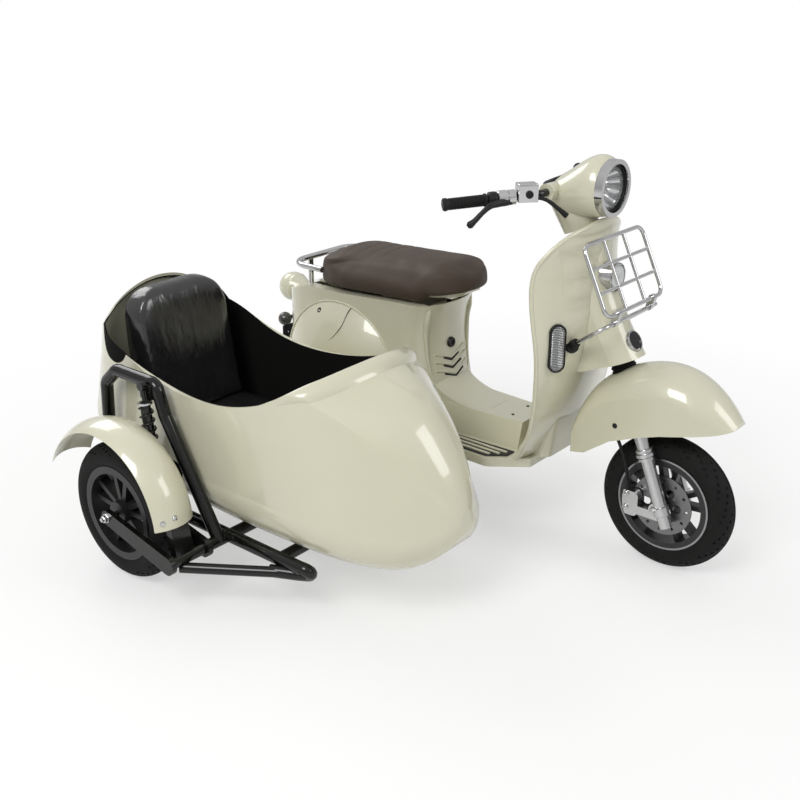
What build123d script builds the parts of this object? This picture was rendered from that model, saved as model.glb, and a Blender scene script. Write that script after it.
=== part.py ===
from build123d import *
from math import asin, cos, hypot, radians, sin, tan
import os

os.makedirs("parts", exist_ok=True)

# Overall size in mm: x forward, y left, z up, origin under the middle of the whole vehicle.
LENGTH = 1766.0
WIDTH = 1480.0
HEIGHT = 1170.0
BAR_HALF = 365.0
FIT = 0.3

# Wheels: three of one size.
TYRE_R = 204.0
TYRE_HALF = 42.0
BEAD_R = 127.0
BEAD_HALF = 30.0
RIM_R = 141.0
AXLE_R = 8.0
RUN = 0.05
WHEELBASE = 1270.0
TRACK = 1040.0
SIDECAR_LEAD = 110.0

# Scooter datum: the front axle on the scooter's middle plane; local x and y count from here.
FX = LENGTH / 2 - TYRE_R
SY = WIDTH / 2 - BAR_HALF
REAR_X = -WHEELBASE
CAR_X = REAR_X + SIDECAR_LEAD
TAIL_X = TYRE_R - LENGTH
OUTER_Y = BAR_HALF - WIDTH

# Steering: a raked axis that passes a little behind the front axle.
RAKE = 22.0
STEER_BACK = 23.0
LEG_N = 35.0
LEG_Y = 68.0
LEG_R = 19.0
LEG_LOW = -66.0
YOKE_LOW = 300.0
YOKE_HIGH = 346.0
COLLAR_R = 32.0
COLLAR_HIGH = 438.0
STEM_R = 14.95
STEM_HIGH = 900.0
HEAD_R = 27.0
HEAD_LOW = 452.0
HEAD_HIGH = 795.0

# Front body.
SHIELD_HALF = 222.0
SHIELD_TOP = 990.0
SHIELD_LOW = 265.0
COVER_LOW = 422.0
COVER_HIGH = 830.0
COVER_WALL = 4.0

# Floor and rear body.
FLOOR_Z = 265.0
FLOOR_HALF = 212.0
FLOOR_FRONT = -392.0
FLOOR_BACK = -1010.0
FLOOR_DEEP = 28.0
TUNNEL_TOP = 346.0
TUNNEL_WALL = 5.0
TUNNEL_FRONT = -462.0
BODY_FRONT = -732.0
BODY_HALF = 150.0
BODY_END = -1445.0
BODY_WALL = 4.0
BODY_TOP = 660.0
DECK_X = -1300.0
DECK_Z = 642.0
TAIL_Z = 592.0
SHELF_X = -808.0
LIP_Y = 112.0
SHELF_Z = 656.0

# Sidecar.
CAR_MID = -625.0
CAR_WALL = 5.0
LINER = 4.0
TUBE_R = 19.0
CROSS_R = 17.5
RAIL_Z = 145.0
RAIL_END = -610.0
CROSS_X = -905.0
BACK_CROSS_X = -1385.0

UP = (Align.CENTER, Align.CENTER, Align.MIN)
ax, az = cos(radians(RAKE)), sin(radians(RAKE))
STEER = Plane(origin=(FX - STEER_BACK, SY, TYRE_R), x_dir=(ax, 0, az), z_dir=(-az, 0, ax))


def side(y=0.0):
    """Side-view plane at local y: sketch x runs forward, sketch y runs up."""
    return Plane(origin=(FX, SY + y, 0), x_dir=(1, 0, 0), z_dir=(0, -1, 0))


def cross(x, y=0.0):
    """Cross-section plane at local x: sketch x runs left, sketch y runs up."""
    return Plane(origin=(FX + x, SY + y, 0), x_dir=(0, 1, 0), z_dir=(1, 0, 0))


def level(z, y=0.0):
    """Plan-view plane at height z: sketch x runs forward, sketch y runs left."""
    return Plane(origin=(FX, SY + y, z))


def cap_mid(r, h):
    """Half-way point of a spherical cap's profile: how far out from its base, how far from its axis."""
    ball = (r * r + h * h) / (2 * h)
    half = asin(r / ball) / 2
    return h - ball * (1 - cos(half)), ball * sin(half)


def save(builder, name):
    builder.part.label = name
    export_step(builder.part, "parts/" + name + ".step")


# Tyres: one plain closed ring each, round in the crown, flat where the rim flange bears on it.
WHEELS = (
    # name, local x, local y
    ("front", 0.0, 0.0),
    ("rear", REAR_X, 0.0),
    ("sidecar", CAR_X, -TRACK),
)
for name, wx, wy in WHEELS:
    hub = Plane(origin=(FX + wx, SY + wy, TYRE_R))
    spin = Axis(hub.origin, (0, 1, 0))
    with BuildPart() as tyre:
        with BuildSketch(hub):
            with BuildLine():
                Polyline((RIM_R, BEAD_HALF), (BEAD_R, BEAD_HALF), (BEAD_R, -BEAD_HALF), (RIM_R, -BEAD_HALF))
                ThreePointArc((RIM_R, -BEAD_HALF), (RIM_R + 27, -TYRE_HALF), (TYRE_R - 15, -BEAD_HALF))
                ThreePointArc((TYRE_R - 15, -BEAD_HALF), (TYRE_R, 0), (TYRE_R - 15, BEAD_HALF))
                ThreePointArc((TYRE_R - 15, BEAD_HALF), (RIM_R + 27, TYRE_HALF), (RIM_R, BEAD_HALF))
            make_face()
        revolve(axis=spin)
    save(tyre, name + "_tyre")

    # Rim: barrel with two flanges, hub and spokes; the rear one is a motor in a drum.
    with BuildPart() as wheel:
        with BuildSketch(hub):
            with BuildLine():
                Polyline(
                    (BEAD_R - 8, -BEAD_HALF - 6), (RIM_R, -BEAD_HALF - 6), (RIM_R, -BEAD_HALF),
                    (BEAD_R - FIT, -BEAD_HALF), (BEAD_R - FIT, BEAD_HALF), (RIM_R, BEAD_HALF),
                    (RIM_R, BEAD_HALF + 6), (BEAD_R - 8, BEAD_HALF + 6), close=True,
                )
            make_face()
        revolve(axis=spin)
        upright = Plane(origin=hub.origin, x_dir=(1, 0, 0), z_dir=(0, -1, 0))
        if name == "rear":
            with BuildSketch(upright):
                Circle(BEAD_R - 6)
            extrude(amount=26, both=True)
            with BuildSketch(upright):
                Circle(92)
            extrude(amount=40, both=True)
        else:
            with BuildSketch(upright):
                Circle(34)
            extrude(amount=34, both=True)
            with BuildSketch(upright):
                for lean in (-13, 13):
                    with PolarLocations(0, 5, start_angle=90 + lean):
                        with Locations((72, 0)):
                            Rectangle(2 * (BEAD_R - 72) - 8, 15)
            extrude(amount=15, both=True)
        with BuildSketch(upright):
            Circle(AXLE_R + RUN)
        extrude(amount=TYRE_HALF + 20, both=True, mode=Mode.SUBTRACT)
    save(wheel, name + "_wheel")

# Front brake disc: a drilled ring bolted flat to the right face of the hub.
with BuildPart() as brake_disc:
    with BuildSketch(side(-34.0)):
        with Locations((0, TYRE_R)):
            Circle(92)
            Circle(22, mode=Mode.SUBTRACT)
            with PolarLocations(76, 12):
                Circle(5, mode=Mode.SUBTRACT)
            with PolarLocations(48, 6):
                Circle(13, mode=Mode.SUBTRACT)
    extrude(amount=4)
save(brake_disc, "brake_disc")

# Fork: two legs, a bridge over the tyre, a collar through the mudguard and the stem.
with BuildPart(STEER) as fork:
    with Locations((LEG_N, LEG_Y, LEG_LOW), (LEG_N, -LEG_Y, LEG_LOW)):
        Cylinder(LEG_R, YOKE_HIGH - LEG_LOW, align=UP)
    with Locations((LEG_N / 2, 0, YOKE_LOW)):
        Box(LEG_N + 50, 2 * LEG_Y + 24, YOKE_HIGH - YOKE_LOW, align=UP)
    with Locations((0, 0, YOKE_LOW)):
        Cylinder(COLLAR_R, COLLAR_HIGH - YOKE_LOW, align=UP)
        Cylinder(STEM_R, STEM_HIGH - YOKE_LOW, align=UP)
    with BuildSketch(side(LEG_Y)):
        with Locations((0, TYRE_R)):
            Circle(AXLE_R)
    extrude(amount=2 * LEG_Y)
    for y in (-LEG_Y, LEG_Y):
        with BuildSketch(side(y)):
            with Locations((0, TYRE_R)):
                Circle(19)
        extrude(amount=14, both=True)
save(fork, "fork")

# Caliper: a block behind the right leg, open where the disc turns through it.
with BuildPart() as caliper:
    with BuildSketch(side(-22.0 - 4)):
        with Locations((-92, TYRE_R - 10)):
            RectangleRounded(62, 76, 14)
        with Locations((0, TYRE_R)):
            Circle(BEAD_R - 16, mode=Mode.INTERSECT)
    extrude(amount=42)
    with BuildSketch(side(-56.0)):
        with Locations((-44, TYRE_R - 26)):
            Rectangle(120, 26)
    extrude(amount=12)
    with BuildSketch(side(-34.0 + 5)):
        with Locations((0, TYRE_R)):
            Circle(97)
    extrude(amount=14, mode=Mode.SUBTRACT)
    with BuildSketch(STEER.offset(LEG_LOW)):
        with Locations((LEG_N, -LEG_Y)):
            Circle(LEG_R + FIT)
        with Locations((LEG_N + 30, -LEG_Y)):
            Rectangle(60, 60)
    extrude(amount=400, mode=Mode.SUBTRACT)
    with BuildSketch(side(-40.0)):
        with Locations((0, TYRE_R)):
            Circle(19 + FIT)
    extrude(amount=60, mode=Mode.SUBTRACT)
save(caliper, "caliper")

# Front mudguard: a tall helmet of arch sections, hollow, cut to its sweeping lower edge.
GUARD = (
    # x, half width, crown height
    (-285.0, 84.0, 430.0),
    (-190.0, 97.0, 562.0),
    (-90.0, 102.0, 610.0),
    (20.0, 100.0, 618.0),
    (120.0, 82.0, 571.0),
    (190.0, 48.0, 500.0),
)


def guard_skin(inset, ends):
    """The mudguard's arch sections drawn in by inset, with the first and last moved by ends."""
    with BuildPart() as skin:
        for i, (x, half, crown) in enumerate(GUARD):
            shift = ends if i == 0 else -ends if i == len(GUARD) - 1 else 0
            w, top = half - inset, crown - inset
            with BuildSketch(cross(x + shift)):
                with BuildLine():
                    Polyline((w, top - 0.8 * w), (w, 220 - inset), (-w, 220 - inset), (-w, top - 0.8 * w))
                    ThreePointArc((-w, top - 0.8 * w), (0, top), (w, top - 0.8 * w))
                make_face()
        loft()
    return skin.part


with BuildPart() as front_mudguard:
    add(guard_skin(0, 0))
    add(guard_skin(3, 3), mode=Mode.SUBTRACT)
    with BuildSketch(side()):
        with BuildLine():
            Polyline(
                (-320, 300), (-285, 306), (-235, 319), (-150, 382), (-57, 421), (3, 441),
                (91, 461), (147, 474), (230, 500), (230, 100), (-320, 100), close=True,
            )
        make_face()
    extrude(amount=200, both=True, mode=Mode.SUBTRACT)
    with BuildSketch(STEER.offset(YOKE_HIGH)):
        Circle(COLLAR_R + FIT)
    extrude(amount=150, mode=Mode.SUBTRACT)
save(front_mudguard, "front_mudguard")

# Head tube: the steering bearing, held by the shield.
with BuildPart(STEER) as head_tube:
    with Locations((0, 0, HEAD_LOW)):
        Cylinder(HEAD_R, HEAD_HIGH - HEAD_LOW, align=UP)
        Cylinder(STEM_R + RUN, HEAD_HIGH - HEAD_LOW, align=UP, mode=Mode.SUBTRACT)
save(head_tube, "head_tube")

# Leg shield: crescent sections stacked from floor to top, trimmed to the front outline.
SHIELD = (
    # z, front at the middle, front at the edge, thickness at the middle
    (250.0, -412.0, -462.0, 16.0),
    (350.0, -352.0, -385.0, 16.0),
    (460.0, -312.0, -352.0, 16.0),
    (570.0, -275.0, -346.0, 16.0),
    (690.0, -252.0, -356.0, 16.0),
    (810.0, -256.0, -384.0, 16.0),
    (910.0, -264.0, -380.0, 14.0),
    (1000.0, -272.0, -340.0, 12.0),
)


def shield_stack(shift, back):
    """The crescents moved forward by shift, thickened rearward by back."""
    w = SHIELD_HALF + 20
    with BuildPart() as stack:
        for z, mid, edge, thick in SHIELD:
            with BuildSketch(level(z)):
                with BuildLine():
                    ThreePointArc((edge + shift, -w), (mid + shift, 0), (edge + shift, w))
                    Line((edge + shift, w), (edge - 8 - back, w))
                    ThreePointArc((edge - 8 - back, w), (mid - thick - back, 0), (edge - 8 - back, -w))
                    Line((edge - 8 - back, -w), (edge + shift, -w))
                make_face()
        loft()
    return stack.part


with BuildPart() as leg_shield:
    add(shield_stack(0, 0))
    with BuildSketch(level(SHIELD_LOW)):
        with Locations((-392, 0)):
            RectangleRounded(76, 200, 30)
    with BuildSketch(level(915)):
        with Locations((-312, 0)):
            RectangleRounded(86, 150, 30)
    loft()
    with BuildSketch(cross(0)):
        with BuildLine():
            w = SHIELD_HALF
            Line((-w * 0.74, SHIELD_LOW), (w * 0.74, SHIELD_LOW))
            ThreePointArc((w * 0.74, SHIELD_LOW), (w * 0.91, 470), (w * 0.985, 650))
            ThreePointArc((w * 0.985, 650), (w, 740), (w * 0.97, 830))
            ThreePointArc((w * 0.97, 830), (w * 0.8, 930), (w * 0.42, SHIELD_TOP - 14))
            ThreePointArc((w * 0.42, SHIELD_TOP - 14), (0, SHIELD_TOP), (-w * 0.42, SHIELD_TOP - 14))
            ThreePointArc((-w * 0.42, SHIELD_TOP - 14), (-w * 0.8, 930), (-w * 0.97, 830))
            ThreePointArc((-w * 0.97, 830), (-w, 740), (-w * 0.985, 650))
            ThreePointArc((-w * 0.985, 650), (-w * 0.91, 470), (-w * 0.74, SHIELD_LOW))
        make_face()
    extrude(amount=-700, mode=Mode.INTERSECT)
    with BuildSketch(STEER.offset(HEAD_LOW - 20)):
        Circle(HEAD_R + FIT)
    extrude(amount=HEAD_HIGH - HEAD_LOW + 30, mode=Mode.SUBTRACT)
save(leg_shield, "leg_shield")

# Horn cover: a hollow nose ahead of the head tube, scribed to the shield.
COVER = (
    # height along the steering axis, back, front, half width
    (COVER_LOW, -125.0, 68.0, 76.0),
    (620.0, -40.0, 40.0, 66.0),
    (COVER_HIGH, 15.0, 52.0, 46.0),
)


def cover_skin(inset):
    """The nose's rounded sections drawn in by inset."""
    with BuildPart() as skin:
        for s, back, front, half in COVER:
            n, w = front - inset, half - inset
            with BuildSketch(STEER.offset(s)):
                with BuildLine():
                    Polyline((n - 0.8 * w, -w), (back - 90, -w), (back - 90, w), (n - 0.8 * w, w))
                    ThreePointArc((n - 0.8 * w, w), (n, 0), (n - 0.8 * w, -w))
                make_face()
        loft()
    return skin.part


with BuildPart() as horn_cover:
    add(cover_skin(0))
    add(cover_skin(COVER_WALL), mode=Mode.SUBTRACT)
    add(shield_stack(FIT, 400), mode=Mode.SUBTRACT)
save(horn_cover, "horn_cover")

# Plan sections of the rear body: flat flanks, a waisted front and a rounded tail.
BODY = (
    # z, front on the middle plane
    (FLOOR_Z, BODY_FRONT - 34),
    (420.0, BODY_FRONT - 50),
    (560.0, BODY_FRONT - 64),
    (650.0, BODY_FRONT - 44),
    (720.0, BODY_FRONT - 2),
)


def body_skin(inset):
    """The rear body's plan sections, flat on the flanks, drawn in by inset."""
    tail = BODY_END + 130
    with BuildPart() as skin:
        for z, front in BODY:
            with BuildSketch(level(z)):
                with BuildLine():
                    ThreePointArc((front - 22, 108), (front, 0), (front - 22, -108))
                    ThreePointArc((front - 22, -108), (front - 50, -139), (front - 95, -BODY_HALF))
                    Line((front - 95, -BODY_HALF), (tail, -BODY_HALF))
                    ThreePointArc((tail, -BODY_HALF), (BODY_END + 36, -112), (BODY_END, -40))
                    Line((BODY_END, -40), (BODY_END, 40))
                    ThreePointArc((BODY_END, 40), (BODY_END + 36, 112), (tail, BODY_HALF))
                    Line((tail, BODY_HALF), (front - 95, BODY_HALF))
                    ThreePointArc((front - 95, BODY_HALF), (front - 50, 139), (front - 22, 108))
                make_face()
                if inset:
                    offset(amount=-inset, mode=Mode.REPLACE)
        loft()
    return skin.part


def tunnel_skin(inset):
    """The tunnel between the footboards, tapering forward and upward, drawn in by inset."""
    with BuildPart() as skin:
        for z, back, front in ((FLOOR_Z - 2 * inset, 122, 98), (TUNNEL_TOP - inset, 102, 74)):
            with BuildSketch(level(z)):
                with BuildLine():
                    Polyline(
                        (BODY_FRONT - 100, back - inset), (TUNNEL_FRONT - inset, front - inset),
                        (TUNNEL_FRONT - inset, inset - front), (BODY_FRONT - 100, inset - back), close=True,
                    )
                make_face()
        loft()
    return skin.part


# Floor: a shallow tray with skirts and a raised hollow tunnel, carried on two box rails.
with BuildPart() as floor_pan:
    with BuildSketch(level(FLOOR_Z)) as plan:
        with BuildLine():
            Polyline(
                (FLOOR_FRONT, -130), (FLOOR_FRONT, 130), (FLOOR_FRONT - 105, FLOOR_HALF),
                (BODY_FRONT - 20, FLOOR_HALF), (BODY_FRONT - 110, BODY_HALF), (FLOOR_BACK, BODY_HALF),
                (FLOOR_BACK, -BODY_HALF), (BODY_FRONT - 110, -BODY_HALF), (BODY_FRONT - 20, -FLOOR_HALF),
                (FLOOR_FRONT - 105, -FLOOR_HALF), close=True,
            )
        make_face()
        fillet(plan.vertices().group_by(Axis.X)[-2], 40)
    extrude(amount=-FLOOR_DEEP)
    with BuildSketch(level(FLOOR_Z - 10)) as hollow:
        add(plan.sketch_local)
        offset(amount=-6, mode=Mode.REPLACE)
    extrude(amount=-FLOOR_DEEP, mode=Mode.SUBTRACT)
    with Locations((FX + FLOOR_BACK, SY, FLOOR_Z - FLOOR_DEEP)):
        Box(60, 2 * BODY_HALF - 24, FLOOR_DEEP - 10, align=UP, mode=Mode.SUBTRACT)
    add(tunnel_skin(0))
    add(tunnel_skin(TUNNEL_WALL), mode=Mode.SUBTRACT)
    add(body_skin(-FIT), mode=Mode.SUBTRACT)
save(floor_pan, "floor_pan")

# Scooter frame: box rails under the tray, cross tubes for the sidecar and the swing-arm pivot.
RAIL_SIZE = 36.0
RAIL_Y = 95.0
PIVOT_X = REAR_X + 300.0
PIVOT_Z = 232.0
PIVOT_R = 10.0
CLAMP = 52.0
rail_top = FLOOR_Z - 10
with BuildPart() as main_frame:
    for y in (-RAIL_Y, RAIL_Y):
        with Locations((FX + (FLOOR_FRONT + FLOOR_BACK) / 2 - 50, SY + y, rail_top - RAIL_SIZE)):
            Box(FLOOR_FRONT - FLOOR_BACK + 20, RAIL_SIZE, RAIL_SIZE, align=UP)
    for x in (FLOOR_FRONT - 90, CROSS_X):
        with Locations((FX + x, SY, rail_top - RAIL_SIZE)):
            Box(RAIL_SIZE, 2 * RAIL_Y, RAIL_SIZE, align=UP)
    for y in (-RAIL_Y, RAIL_Y):
        with BuildSketch(side(y)):
            with BuildLine():
                Polyline(
                    (FLOOR_BACK - 8, rail_top - 10), (REAR_X + 80, 595), (REAR_X - 70, 595),
                    (REAR_X - 70, 560), (REAR_X + 55, 560), (FLOOR_BACK - 60, rail_top - 10), close=True,
                )
            make_face()
        extrude(amount=10, both=True)
    for y in (-RAIL_Y, RAIL_Y):
        with BuildSketch(side(y)):
            with Locations((PIVOT_X, PIVOT_Z)):
                Circle(22)
        extrude(amount=RAIL_SIZE / 2, both=True)
    with BuildSketch(side(RAIL_Y)):
        with Locations((PIVOT_X, PIVOT_Z)):
            Circle(PIVOT_R)
    extrude(amount=2 * RAIL_Y)
    with Locations((FX + REAR_X + 40, SY, 577.5)):
        Box(40, 2 * RAIL_Y, 35)
    for y in (-RAIL_Y, RAIL_Y):
        with Locations((FX + CROSS_X, SY + y, RAIL_Z - CROSS_R - 8)):
            Box(CLAMP, 30, rail_top - RAIL_SIZE - RAIL_Z + CROSS_R + 18, align=UP)
        with BuildSketch(side(y)):
            with Locations((CROSS_X, RAIL_Z)):
                Circle(CROSS_R + FIT)
        extrude(amount=40, both=True, mode=Mode.SUBTRACT)
save(main_frame, "main_frame")

# Rear body: a hollow shell, open below, with a shelf for the seat's hinge and a sloping tail deck.
with BuildPart() as rear_body:
    add(body_skin(0))
    add(body_skin(BODY_WALL), mode=Mode.SUBTRACT)
    with BuildSketch(side()):
        with BuildLine():
            Polyline(
                (SHELF_X, SHELF_Z), (BODY_FRONT, SHELF_Z), (BODY_FRONT, SHELF_Z - 6), (SHELF_X, SHELF_Z - 6), close=True
            )
        make_face()
        with BuildLine():
            Polyline(
                (DECK_X, DECK_Z), (BODY_END, TAIL_Z), (BODY_END, TAIL_Z - 6), (DECK_X, DECK_Z - 6), close=True
            )
        make_face()
        with BuildLine():
            Polyline(
                (DECK_X, DECK_Z), (-1131, DECK_Z + 3), (-896, BODY_TOP), (SHELF_X, BODY_TOP), (SHELF_X, BODY_TOP - 6),
                (-896, BODY_TOP - 6), (-1131, DECK_Z - 3), (DECK_X, DECK_Z - 6), close=True,
            )
        make_face()
    extrude(amount=300, both=True)
    with Locations((FX + (DECK_X + SHELF_X) / 2, SY, DECK_Z - 40)):
        Box(SHELF_X - DECK_X, 2 * LIP_Y, 100, align=UP, mode=Mode.SUBTRACT)
    add(body_skin(0), mode=Mode.INTERSECT)
    with BuildSketch(side()):
        with BuildLine():
            Polyline(
                (BODY_FRONT + 40, BODY_TOP), (BODY_FRONT + 40, 900), (BODY_END - 20, 900), (BODY_END - 20, TAIL_Z),
                (BODY_END, TAIL_Z),
                (DECK_X, DECK_Z), (-1131, DECK_Z + 3), (-896, BODY_TOP), close=True,
            )
        make_face()
    extrude(amount=300, both=True, mode=Mode.SUBTRACT)
    with BuildSketch(side()):
        with BuildLine():
            Polyline(
                (FLOOR_BACK, 200), (FLOOR_BACK, FLOOR_Z), (FLOOR_BACK - 30, 330), (REAR_X + 100, 350),
                (BODY_END - 20, 440), (BODY_END - 20, 200), close=True,
            )
        make_face()
    extrude(amount=300, both=True, mode=Mode.SUBTRACT)
save(rear_body, "rear_body")

# Side cowls: half domes on the flat flanks.
COWL_X = -1150.0
COWL_Z = 372.0
COWL_R = 240.0
COWL_OUT = 58.0
for name, hand in (("left", 1), ("right", -1)):
    with BuildPart() as cowl:
        base = Plane(origin=(FX + COWL_X, SY + hand * (BODY_HALF + FIT), COWL_Z))
        with BuildSketch(base):
            with BuildLine():
                Line((0, 0), (COWL_R, 0))
                ThreePointArc((COWL_R, 0), (COWL_R * 0.72, hand * COWL_OUT * 0.72), (0, hand * COWL_OUT))
                Line((0, hand * COWL_OUT), (0, 0))
            make_face()
        revolve(axis=Axis(base.origin, (0, 1, 0)))
        with Locations((FX + COWL_X, SY + hand * (BODY_HALF + FIT), COWL_Z - 300)):
            Box(600, 200, 300, align=UP, mode=Mode.SUBTRACT)
    save(cowl, "cowl_" + name)

# Battery: one plain block standing on the floor tray.
with BuildPart() as battery_pack:
    with Locations((FX + FLOOR_BACK + 95, SY, FLOOR_Z)):
        Box(176, 170, 230, align=UP)
save(battery_pack, "battery_pack")

# Seat: a pan on a front hinge and the long cushion on it.
SEAT_FRONT = -685.0
SEAT_BACK = -1318.0
SEAT_HALF = 130.0
PAN_HALF = 105.0
PAN = 6.0
HINGE_X = -788.0
HINGE_Z = 676.0
HINGE_R = 4.0
SEAT = (
    # x, underside, top
    (SEAT_FRONT, 708.0, 760.0),
    (-770.0, 695.0, 784.0),
    (-1000.0, 670.0, 778.0),
    (-1180.0, 660.0, 770.0),
    (-1280.0, 656.0, 745.0),
    (SEAT_BACK, 656.0, 700.0),
)
with BuildPart() as seat_pad:
    with BuildSketch(side()):
        with BuildLine():
            Polyline(
                *[(x, low) for x, low, top in SEAT], *[(x, top) for x, low, top in reversed(SEAT)], close=True
            )
        make_face()
    extrude(amount=SEAT_HALF, both=True)
    with BuildSketch(level(600)):
        with BuildLine():
            ThreePointArc((-800, SEAT_HALF - 6), (SEAT_FRONT, 0), (-800, -SEAT_HALF + 6))
            Line((-800, -SEAT_HALF + 6), (-1200, -SEAT_HALF))
            ThreePointArc((-1200, -SEAT_HALF), (SEAT_BACK, 0), (-1200, SEAT_HALF))
            Line((-1200, SEAT_HALF), (-800, SEAT_HALF - 6))
        make_face()
    extrude(amount=300, mode=Mode.INTERSECT)
save(seat_pad, "seat_pad")

with BuildPart() as seat_pan:
    with BuildSketch(side()):
        with BuildLine():
            Polyline(
                *[(x, low - FIT) for x, low, top in SEAT[1:5]],
                *[(x, low - PAN) for x, low, top in reversed(SEAT[1:5])],
                close=True,
            )
        make_face()
        with BuildLine():
            Polyline(
                (-770, 695 - FIT), (-716, 703 - FIT), (-722, 692), (-742, 684), (-760, 690), (-770, 695 - PAN), close=True
            )
        make_face()
    extrude(amount=PAN_HALF, both=True)
    with BuildSketch(level(600)):
        with BuildLine():
            ThreePointArc((-800, PAN_HALF), (-712, 0), (-800, -PAN_HALF))
            Polyline((-800, -PAN_HALF), (SEAT_BACK, -PAN_HALF), (SEAT_BACK, PAN_HALF), (-800, PAN_HALF))
        make_face()
    extrude(amount=200, mode=Mode.INTERSECT)
    with BuildSketch(side()):
        with Locations((HINGE_X, HINGE_Z)):
            Circle(2 * HINGE_R)
        with Locations((HINGE_X, HINGE_Z + 7)):
            Rectangle(4 * HINGE_R, 14)
    extrude(amount=18, both=True)
    with BuildSketch(side()):
        with Locations((HINGE_X, HINGE_Z)):
            Circle(HINGE_R + RUN)
    extrude(amount=30, both=True, mode=Mode.SUBTRACT)
save(seat_pan, "seat_pan")

# Hinge bracket of the seat, standing on the shelf inside the front of the rear body.
with BuildPart() as seat_hinge:
    with BuildSketch(side()):
        with Locations((HINGE_X, HINGE_Z)):
            Circle(HINGE_R)
    extrude(amount=30, both=True)
    for y in (-27, 27):
        with BuildSketch(side(y)):
            with Locations((HINGE_X, (SHELF_Z + HINGE_Z + 3) / 2)):
                Rectangle(12, HINGE_Z + 3 - SHELF_Z)
        extrude(amount=4, both=True)
save(seat_hinge, "seat_hinge")

# Sidecar body: boat-like sections from the tail to the nose, hollow, with a dipped cockpit rim.
TUB = (
    # x, flat half, bilge half, floor, bilge top, shoulder half, shoulder, crown
    (-1560.0, 120.0, 200.0, 310.0, 390.0, 160.0, 590.0, 680.0),
    (-1485.0, 165.0, 250.0, 220.0, 330.0, 212.0, 640.0, 745.0),
    (-1270.0, 190.0, 264.0, 178.0, 300.0, 252.0, 620.0, 745.0),
    (-950.0, 195.0, 268.0, 168.0, 295.0, 262.0, 620.0, 730.0),
    (-640.0, 190.0, 264.0, 168.0, 295.0, 230.0, 622.0, 690.0),
    (-500.0, 170.0, 242.0, 166.0, 290.0, 175.0, 552.0, 640.0),
    (-390.0, 135.0, 192.0, 172.0, 285.0, 125.0, 465.0, 565.0),
    (-318.0, 85.0, 128.0, 200.0, 285.0, 85.0, 390.0, 465.0),
    (-276.0, 40.0, 62.0, 245.0, 290.0, 45.0, 340.0, 385.0),
    (-264.0, 14.0, 22.0, 275.0, 298.0, 16.0, 320.0, 338.0),
)


def tub_skin(inset, rows):
    """The sidecar's sections drawn in by inset."""
    with BuildPart() as skin:
        for x, b, w, low, bilge, s, shoulder, crown in rows:
            b, w, s, low, crown = b - inset * 0.6, w - inset, s - inset, low + inset, crown - inset
            with BuildSketch(cross(x, CAR_MID)):
                with BuildLine():
                    Line((-b, low), (b, low))
                    ThreePointArc((b, low), (b + 0.71 * (w - b), low + 0.29 * (bilge - low)), (w, bilge))
                    Line((w, bilge), (s, shoulder))
                    ThreePointArc((s, shoulder), (0, crown), (-s, shoulder))
                    Line((-s, shoulder), (-w, bilge))
                    ThreePointArc((-w, bilge), (-b - 0.71 * (w - b), low + 0.29 * (bilge - low)), (-b, low))
                make_face()
        loft()
    return skin.part


# Sidecar frame: rails, cross tubes out to the wheel and in to the scooter, hoop and guard bar.
NEAR_Y = -886.0
FAR_Y = -372.0
HOOP_Y = -925.0
ARM_Y = -TRACK - TYRE_HALF - 22
with BuildPart() as sidecar_frame:
    TUBES = (
        # from x, y to x, y, radius, all at the rail height
        (BACK_CROSS_X - 30, NEAR_Y, RAIL_END, NEAR_Y, TUBE_R),
        (BACK_CROSS_X - 30, FAR_Y, RAIL_END, FAR_Y, TUBE_R),
        (CROSS_X, OUTER_Y + 3, CROSS_X, RAIL_Y + 40, CROSS_R),
        (BACK_CROSS_X, HOOP_Y - 25, BACK_CROSS_X, FAR_Y + 30, CROSS_R),
        (RAIL_END - 90, NEAR_Y - 8, RAIL_END - 90, FAR_Y + 8, CROSS_R),
    )
    for x0, y0, x1, y1, r in TUBES:
        with BuildSketch(Plane(origin=(FX + x0, SY + y0, RAIL_Z), z_dir=(x1 - x0, y1 - y0, 0))):
            Circle(r)
        extrude(amount=hypot(x1 - x0, y1 - y0))
    with BuildLine(side(HOOP_Y)) as hoop:
        FilletPolyline(
            (CROSS_X + 5, RAIL_Z - 6), (-1100, 470), (-1132, 560), (-1310, 560), (-1365, 510),
            (BACK_CROSS_X, RAIL_Z - 6), radius=30,
        )
    with BuildSketch(Plane(hoop.line @ 0, z_dir=hoop.line % 0)):
        Circle(TUBE_R)
    sweep(path=hoop.line)
    with BuildLine(level(RAIL_Z - 24)) as guard:
        FilletPolyline((CROSS_X, OUTER_Y + 50), (-690, NEAR_Y - 30), (RAIL_END - 25, NEAR_Y + 4), radius=60)
    with BuildSketch(Plane(guard.line @ 0, z_dir=guard.line % 0)):
        Circle(TUBE_R - 4)
    sweep(path=guard.line)
    with Locations(
        (FX + CROSS_X, SY + CAR_MID - 120, RAIL_Z), (FX + CROSS_X, SY + CAR_MID + 120, RAIL_Z),
        (FX + BACK_CROSS_X, SY + CAR_MID - 100, RAIL_Z), (FX + BACK_CROSS_X, SY + CAR_MID + 100, RAIL_Z),
    ):
        Box(30, 60, 60, align=UP)
    with Locations((FX + CAR_X + 10, SY + HOOP_Y - 18, 540)):
        Box(44, 18, 44)
    add(tub_skin(-FIT, TUB), mode=Mode.SUBTRACT)
save(sidecar_frame, "sidecar_frame")

with BuildPart() as cockpit:
    with BuildSketch(side(CAR_MID)):
        with BuildLine():
            Polyline((-1473, 900), (-1473, 690), (-1425, 625), (-1327, 589))
            ThreePointArc((-1327, 589), (-1000, 532), (-760, 580))
            Polyline((-760, 580), (-617, 655), (-556, 694), (-556, 900), (-1473, 900))
        make_face()
    extrude(amount=400, both=True)

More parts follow.
